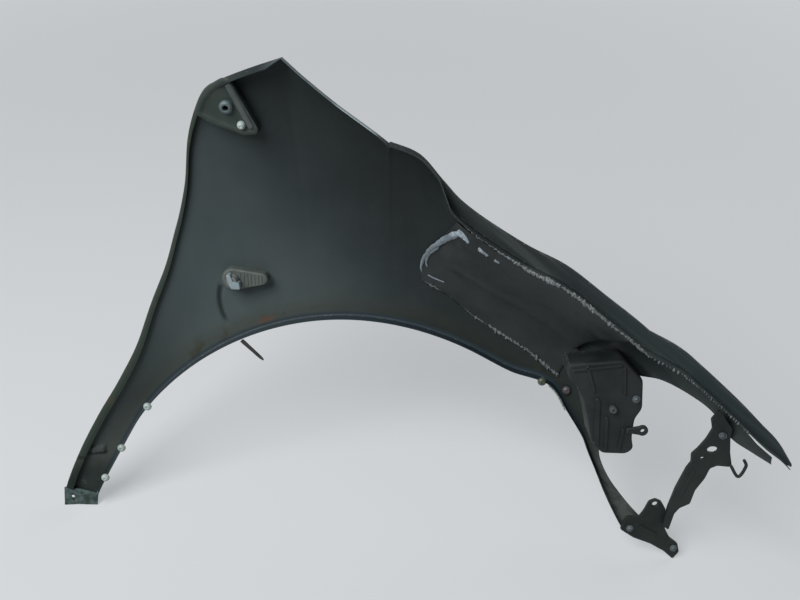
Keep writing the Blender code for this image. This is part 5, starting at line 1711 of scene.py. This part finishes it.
root = lip_point(TAB_BEARING) - polar(TAB_BEARING, SHEET + 0.5 * SEAT_GAP + 0.245 * TAB_WIDTH)
along = Vector((cos(radians(TAB_SLOPE)), 0, sin(radians(TAB_SLOPE))))
side = Vector((-along.z, 0, along.x)) * (TAB_WIDTH / 2)
near_side, far_side = [], []
for k in range(15):
    u = k / 14
    spot = root + along * (TAB_LENGTH + 0.003) * u
    reach = (1 - 0.3 * u) * (1.0 if u < 0.9 else 0.75 if u < 0.97 else 0.4) * (1 + 0.12 * noise.noise(spot * 300))
    for edge, point in ((near_side, spot - side * reach), (far_side, spot + side * reach)):
        edge.append((point.x, point.z))
rubber = coated_finish("brown_rubber_strip", (0.020, 0.024, 0.023), (0.060, 0.060, 0.050), 0.75, 700.0, 0.3, 0.4, 0.4)
tongue_depth = root.y - 0.9 * LIP_RETURN - TAB_THICKNESS
tongue_mesh = moulding(near_side + far_side[::-1], tongue_depth, TAB_THICKNESS, 0.0005, 2)
tongue = stand_up("liner_seal_tongue", join_meshes(tongue_mesh), rubber)
sharp_beyond(tongue, 45)
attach(tongue, "root")
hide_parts("liner_tab")


# Side lamp: a clear ribbed lens outside, and inside the panel a pale grey tray through whose thin back the
# ribs show. The white bulb holder is turned into the round end of the tray and carries one bulb.
LAMP_WALL = 0.0015
LAMP_DEPTH = 0.012
LAMP_DOME = 0.007
HOLDER = 0.015
HOLDER_HEIGHT = 0.010
HOLDER_GRIP = (
    (-0.0060, 0.0090), (-0.0010, 0.0095), (0.0020, 0.0010), (0.0095, -0.0005), (0.0100, -0.0090),
    (-0.0010, -0.0085), (-0.0040, 0.0000),
)
BULB = 0.007
BULB_LENGTH = 0.008
LAMP_RIB_PITCH = 0.0042
LAMP_RIBS = 7


def lamp_plastic(name, colour, soiled, roughness, clearness=0.0):
    """Lamp plastic: soiled, faintly clouded and scratched."""
    plastic = Finish(name, colour, Transmission_Weight=clearness)
    dust, _ = plastic.lay(soil, Scale=45.0, Amount=0.5, Run=0.4)
    grain, _ = plastic.lay(fine_grain, Scale=900.0, Speckle=0.4)
    _, scratched = plastic.lay(edge_wear, Edge=0.0, Scale=300.0, Amount=0.2)
    plastic.cover(dust * 0.6, soiled)
    plastic.cover(scratched * 0.4, shade(colour, 1.4))
    return plastic.done(grain, 0.12, Roughness=dust.ramp(0.0, 1.0, roughness, roughness + 0.2, False))


lamp_depths = [skin_depth(x, z) for x, z in teardrop(0, 7)]
lamp_front, lamp_back = min(lamp_depths) - SEAT_GAP, max(lamp_depths) + SHEET + SEAT_GAP
lamp_middle = polar(LAMP_BEARING, ARCH_RADIUS + LAMP_ABOVE_ARCH)
bulb_x = lamp_middle.x - LAMP_LENGTH / 2 + LAMP_HEIGHT / 2

lens_layers = [(0.0, lamp_back)]
for width, rise in ((0.0, 0.45), (0.0006, 0.70), (0.0018, 0.88), (0.0038, 0.97), (0.0060, 1.0)):
    lens_layers.append((width, lamp_back + rise * LAMP_DOME))
clear_lens = lamp_plastic("clear_lens_plastic", (0.72, 0.76, 0.76), (0.45, 0.47, 0.45), 0.12, 0.75)
lens = stand_up("side_lamp_cover", join_meshes(slab(teardrop(0), lens_layers)), clear_lens)
cut(lens, solid_outline(teardrop(-LAMP_RIM - LAMP_WALL), lamp_back - 0.002, lamp_back + LAMP_DOME - LAMP_WALL))
sharp_beyond(lens, 40)
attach(lens, "root")
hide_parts("side_lamp_lens")

tray_plastic = lamp_plastic("lamp_tray_plastic", (0.072, 0.086, 0.078), (0.032, 0.042, 0.036), 0.45)
tray_face = lamp_front - LAMP_DEPTH
tray = stand_up("side_lamp_tray", join_meshes(moulding(teardrop(0), tray_face, LAMP_DEPTH, 0.003)), tray_plastic)
neck_grow = -LAMP_RIM - 2 * SEAT_GAP
neck = stand_up("neck", solid_outline(teardrop(neck_grow), lamp_front - 0.003, lamp_back - SEAT_GAP))
joint = tray.modifiers.new("Neck", "BOOLEAN")
joint.operation = "UNION"
joint.solver = "EXACT"
joint.object = neck
settle(tray)
bpy.data.objects.remove(neck)
cut(tray, solid_outline(teardrop(neck_grow - LAMP_WALL), tray_face + LAMP_WALL, lamp_back + 0.002))
sharp_beyond(tray, 40)


def tray_rib(tree, width, rise):
    """One upright rib of the tray: a rod half sunk in its back, as long as its point says."""
    rod = node(tree, "GeometryNodeMeshCylinder", Vertices=16, Radius=0.5, Depth=1.0)
    size = spaced(tree, X=width, Y=rise * 2.0, Z=stored(tree, "length"))
    return {"Instance": rod.outputs["Mesh"], "Rotation": (-radians(LEAN), 0.0, 0.0), "Scale": size}


feet = bmesh.new()
reach = feet.verts.layers.float.new("length")
for k in range(LAMP_RIBS):
    x = bulb_x + HOLDER / 2 + 0.0016 + k * LAMP_RIB_PITCH
    vert = feet.verts.new((x, tray_face + 0.0002, lamp_middle.z))
    narrowing = (LAMP_HEIGHT - LAMP_TIP) * (x - bulb_x) / (LAMP_LENGTH - (LAMP_HEIGHT + LAMP_TIP) / 2)
    vert[reach] = LAMP_HEIGHT - narrowing - 0.007
rib_sizes = (("Width", "Float", 0.0011), ("Rise", "Float", 0.0009))
ribs = stand_up("side_lamp_ribs", feet, tray_plastic)
rib_tree = placing_tree("lamp_tray_ribs", "Feet", rib_sizes, tray_rib)
grow(ribs, rib_tree, Width=0.0016, Rise=0.0009, Finish=tray_plastic)
ribs.data.shade_smooth()
sharp_beyond(ribs, 50)
for piece in (tray, ribs):
    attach(piece, "root")
    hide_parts("side_lamp_housing")

holder_profile = sized(HOLDER, HOLDER_HEIGHT, (
    (0, 0.80), (0.16, 0.80), (0.18, 0.96), (0.22, 1.0), (0.36, 1.0), (0.40, 0.95), (0.43, 0.55), (0.47, 0.46),
    (0.50, 0.38), (0.50, 0), (0, 0),
))
behind_tray = tray_face - SET_OFF
# the holder's disc is greyed by soil and also painted darker as shade beside the white grip
greyed_shaded_nylon = nylon_finish("greyed_shaded_nylon_moulding", (0.13, 0.15, 0.14), (0.075, 0.085, 0.075))
turned_holder = turned_mesh(holder_profile, facing((bulb_x, behind_tray, lamp_middle.z), inboard), 40)
holder = stand_up("side_lamp_holder", turned_holder, greyed_shaded_nylon)
grip_line = eased([(bulb_x + x, lamp_middle.z + z) for x, z in HOLDER_GRIP], 0.0018, 3)
grip_mesh = moulding(grip_line, behind_tray - HOLDER_HEIGHT - 0.0015, HOLDER_HEIGHT + 0.0005, 0.0014)
grip_nylon = nylon_finish("bulb_holder_grip_nylon", (0.23, 0.29, 0.32), (0.13, 0.16, 0.17))
grip = stand_up("side_lamp_holder_grip", join_meshes(grip_mesh), grip_nylon)
for piece in (holder, grip):
    sharp_beyond(piece, 45)
    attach(piece, "root")
    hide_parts("side_lamp_bulb_holder")

capsule = sized(BULB, BULB_LENGTH, (
    (0, 1.0), (0.18, 0.985), (0.32, 0.92), (0.44, 0.80), (0.50, 0.64), (0.50, 0.14), (0.44, 0.04), (0.36, 0), (0, 0),
))
bulb_base = tray_face + LAMP_WALL + SET_OFF
bulb_glass = lamp_plastic("bulb_glass", (0.85, 0.88, 0.88), (0.70, 0.72, 0.70), 0.05, 0.9)
bulb_mesh = turned_mesh(capsule, facing((bulb_x, bulb_base, lamp_middle.z), (0, 1, 0)), 32)
bulb = stand_up("side_lamp_capsule", bulb_mesh, bulb_glass)
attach(bulb, "root")
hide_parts("side_lamp_bulb")


# Floor, lamps and camera: a plain pale floor in soft light from above, and the photograph's viewpoint.
# The camera looks down 38 degrees from 0.92 m above the floor.
PALE = (0.64, 0.66, 0.68, 1.0)
FLOOR_COLOUR = (0.62, 0.64, 0.66, 1.0)


def straight_rays(tree):
    """1 for the rays that meet the pale background itself: the camera's, mirrored ones and those through glass."""
    rays = node(tree, "ShaderNodeLightPath").outputs
    looked, mirrored, through = (Pattern(rays[f"Is {kind} Ray"]) for kind in ("Camera", "Glossy", "Transmission"))
    return looked | mirrored | through


def blend(tree, share, first, second):
    """Mixes two shaders."""
    made = node(tree, "ShaderNodeMixShader", Fac=share)
    fill(made.inputs[1], first)
    fill(made.inputs[2], second)
    return made.outputs["Shader"]


def stage_floor():
    """A large floor, pale to the camera, which a lower view sees through from below."""
    mesh = bmesh.new()
    bmesh.ops.create_grid(mesh, x_segments=1, y_segments=1, size=30.0)
    data = bpy.data.meshes.new("floor")
    mesh.to_mesh(data)
    mesh.free()
    floor = bpy.data.objects.new("floor", data)
    bpy.context.scene.collection.objects.link(floor)
    floor.location.z = -0.0004
    finish = Finish("pale_floor", None, Base_Color=FLOOR_COLOUR, Roughness=0.9, Specular_IOR_Level=0.1)
    tree = finish.tree
    pale = node(tree, "ShaderNodeEmission", Color=PALE, Strength=1.0).outputs["Emission"]
    away = node(tree, "ShaderNodeVectorMath", {"operation": "LENGTH"}, Vector=surface(tree)).outputs["Value"]
    evenness = Pattern(away).ramp(0.8, 3.5, 0.6, 1.0)
    lit = blend(tree, straight_rays(tree) * evenness, finish.shader.outputs["BSDF"], pale)
    behind = node(tree, "ShaderNodeNewGeometry").outputs["Backfacing"]
    clear = node(tree, "ShaderNodeBsdfTransparent").outputs["BSDF"]
    fill(tree.nodes["Material Output"].inputs["Surface"], blend(tree, behind, lit, clear))
    data.materials.append(finish.material)


def soft_lamp(name, place, aim, size, watts):
    """A large square lamp that looks at a point."""
    light = bpy.data.lights.new(name, "AREA")
    light.size = size
    light.energy = watts
    lamp = bpy.data.objects.new(name, light)
    bpy.context.scene.collection.objects.link(lamp)
    lamp.location = place
    lamp.rotation_euler = (Vector(aim) - Vector(place)).to_track_quat("-Z", "Y").to_euler()


stage_floor()
soft_lamp("ceiling_lamp", (-1.1, -0.9, 2.1), (-0.1, 0, 0.25), 1.5, 74.0)
soft_lamp("side_lamp", (1.9, 1.2, 1.6), (0, 0, 0.3), 1.4, 14.0)
world = bpy.data.worlds.new("studio")
bpy.context.scene.world = world
world.use_nodes = True
sky = world.node_tree
glow = sky.nodes["Background"]
glow.inputs["Strength"].default_value = 0.62
seen = node(sky, "ShaderNodeBackground", Color=PALE, Strength=1.0).outputs["Background"]
both = blend(sky, straight_rays(sky), glow.outputs["Background"], seen)
fill(sky.nodes["World Output"].inputs["Surface"], both)

viewpoint = bpy.data.cameras.new("viewpoint")
viewpoint.lens = 38.925
camera = bpy.data.objects.new("viewpoint", viewpoint)
bpy.context.scene.collection.objects.link(camera)
camera.location = (0.0216, -0.7266, 0.92)
camera.rotation_euler = (radians(52.0), 0.0, 0.0)
bpy.context.scene.camera = camera
bpy.context.scene.view_settings.view_transform = "Standard"
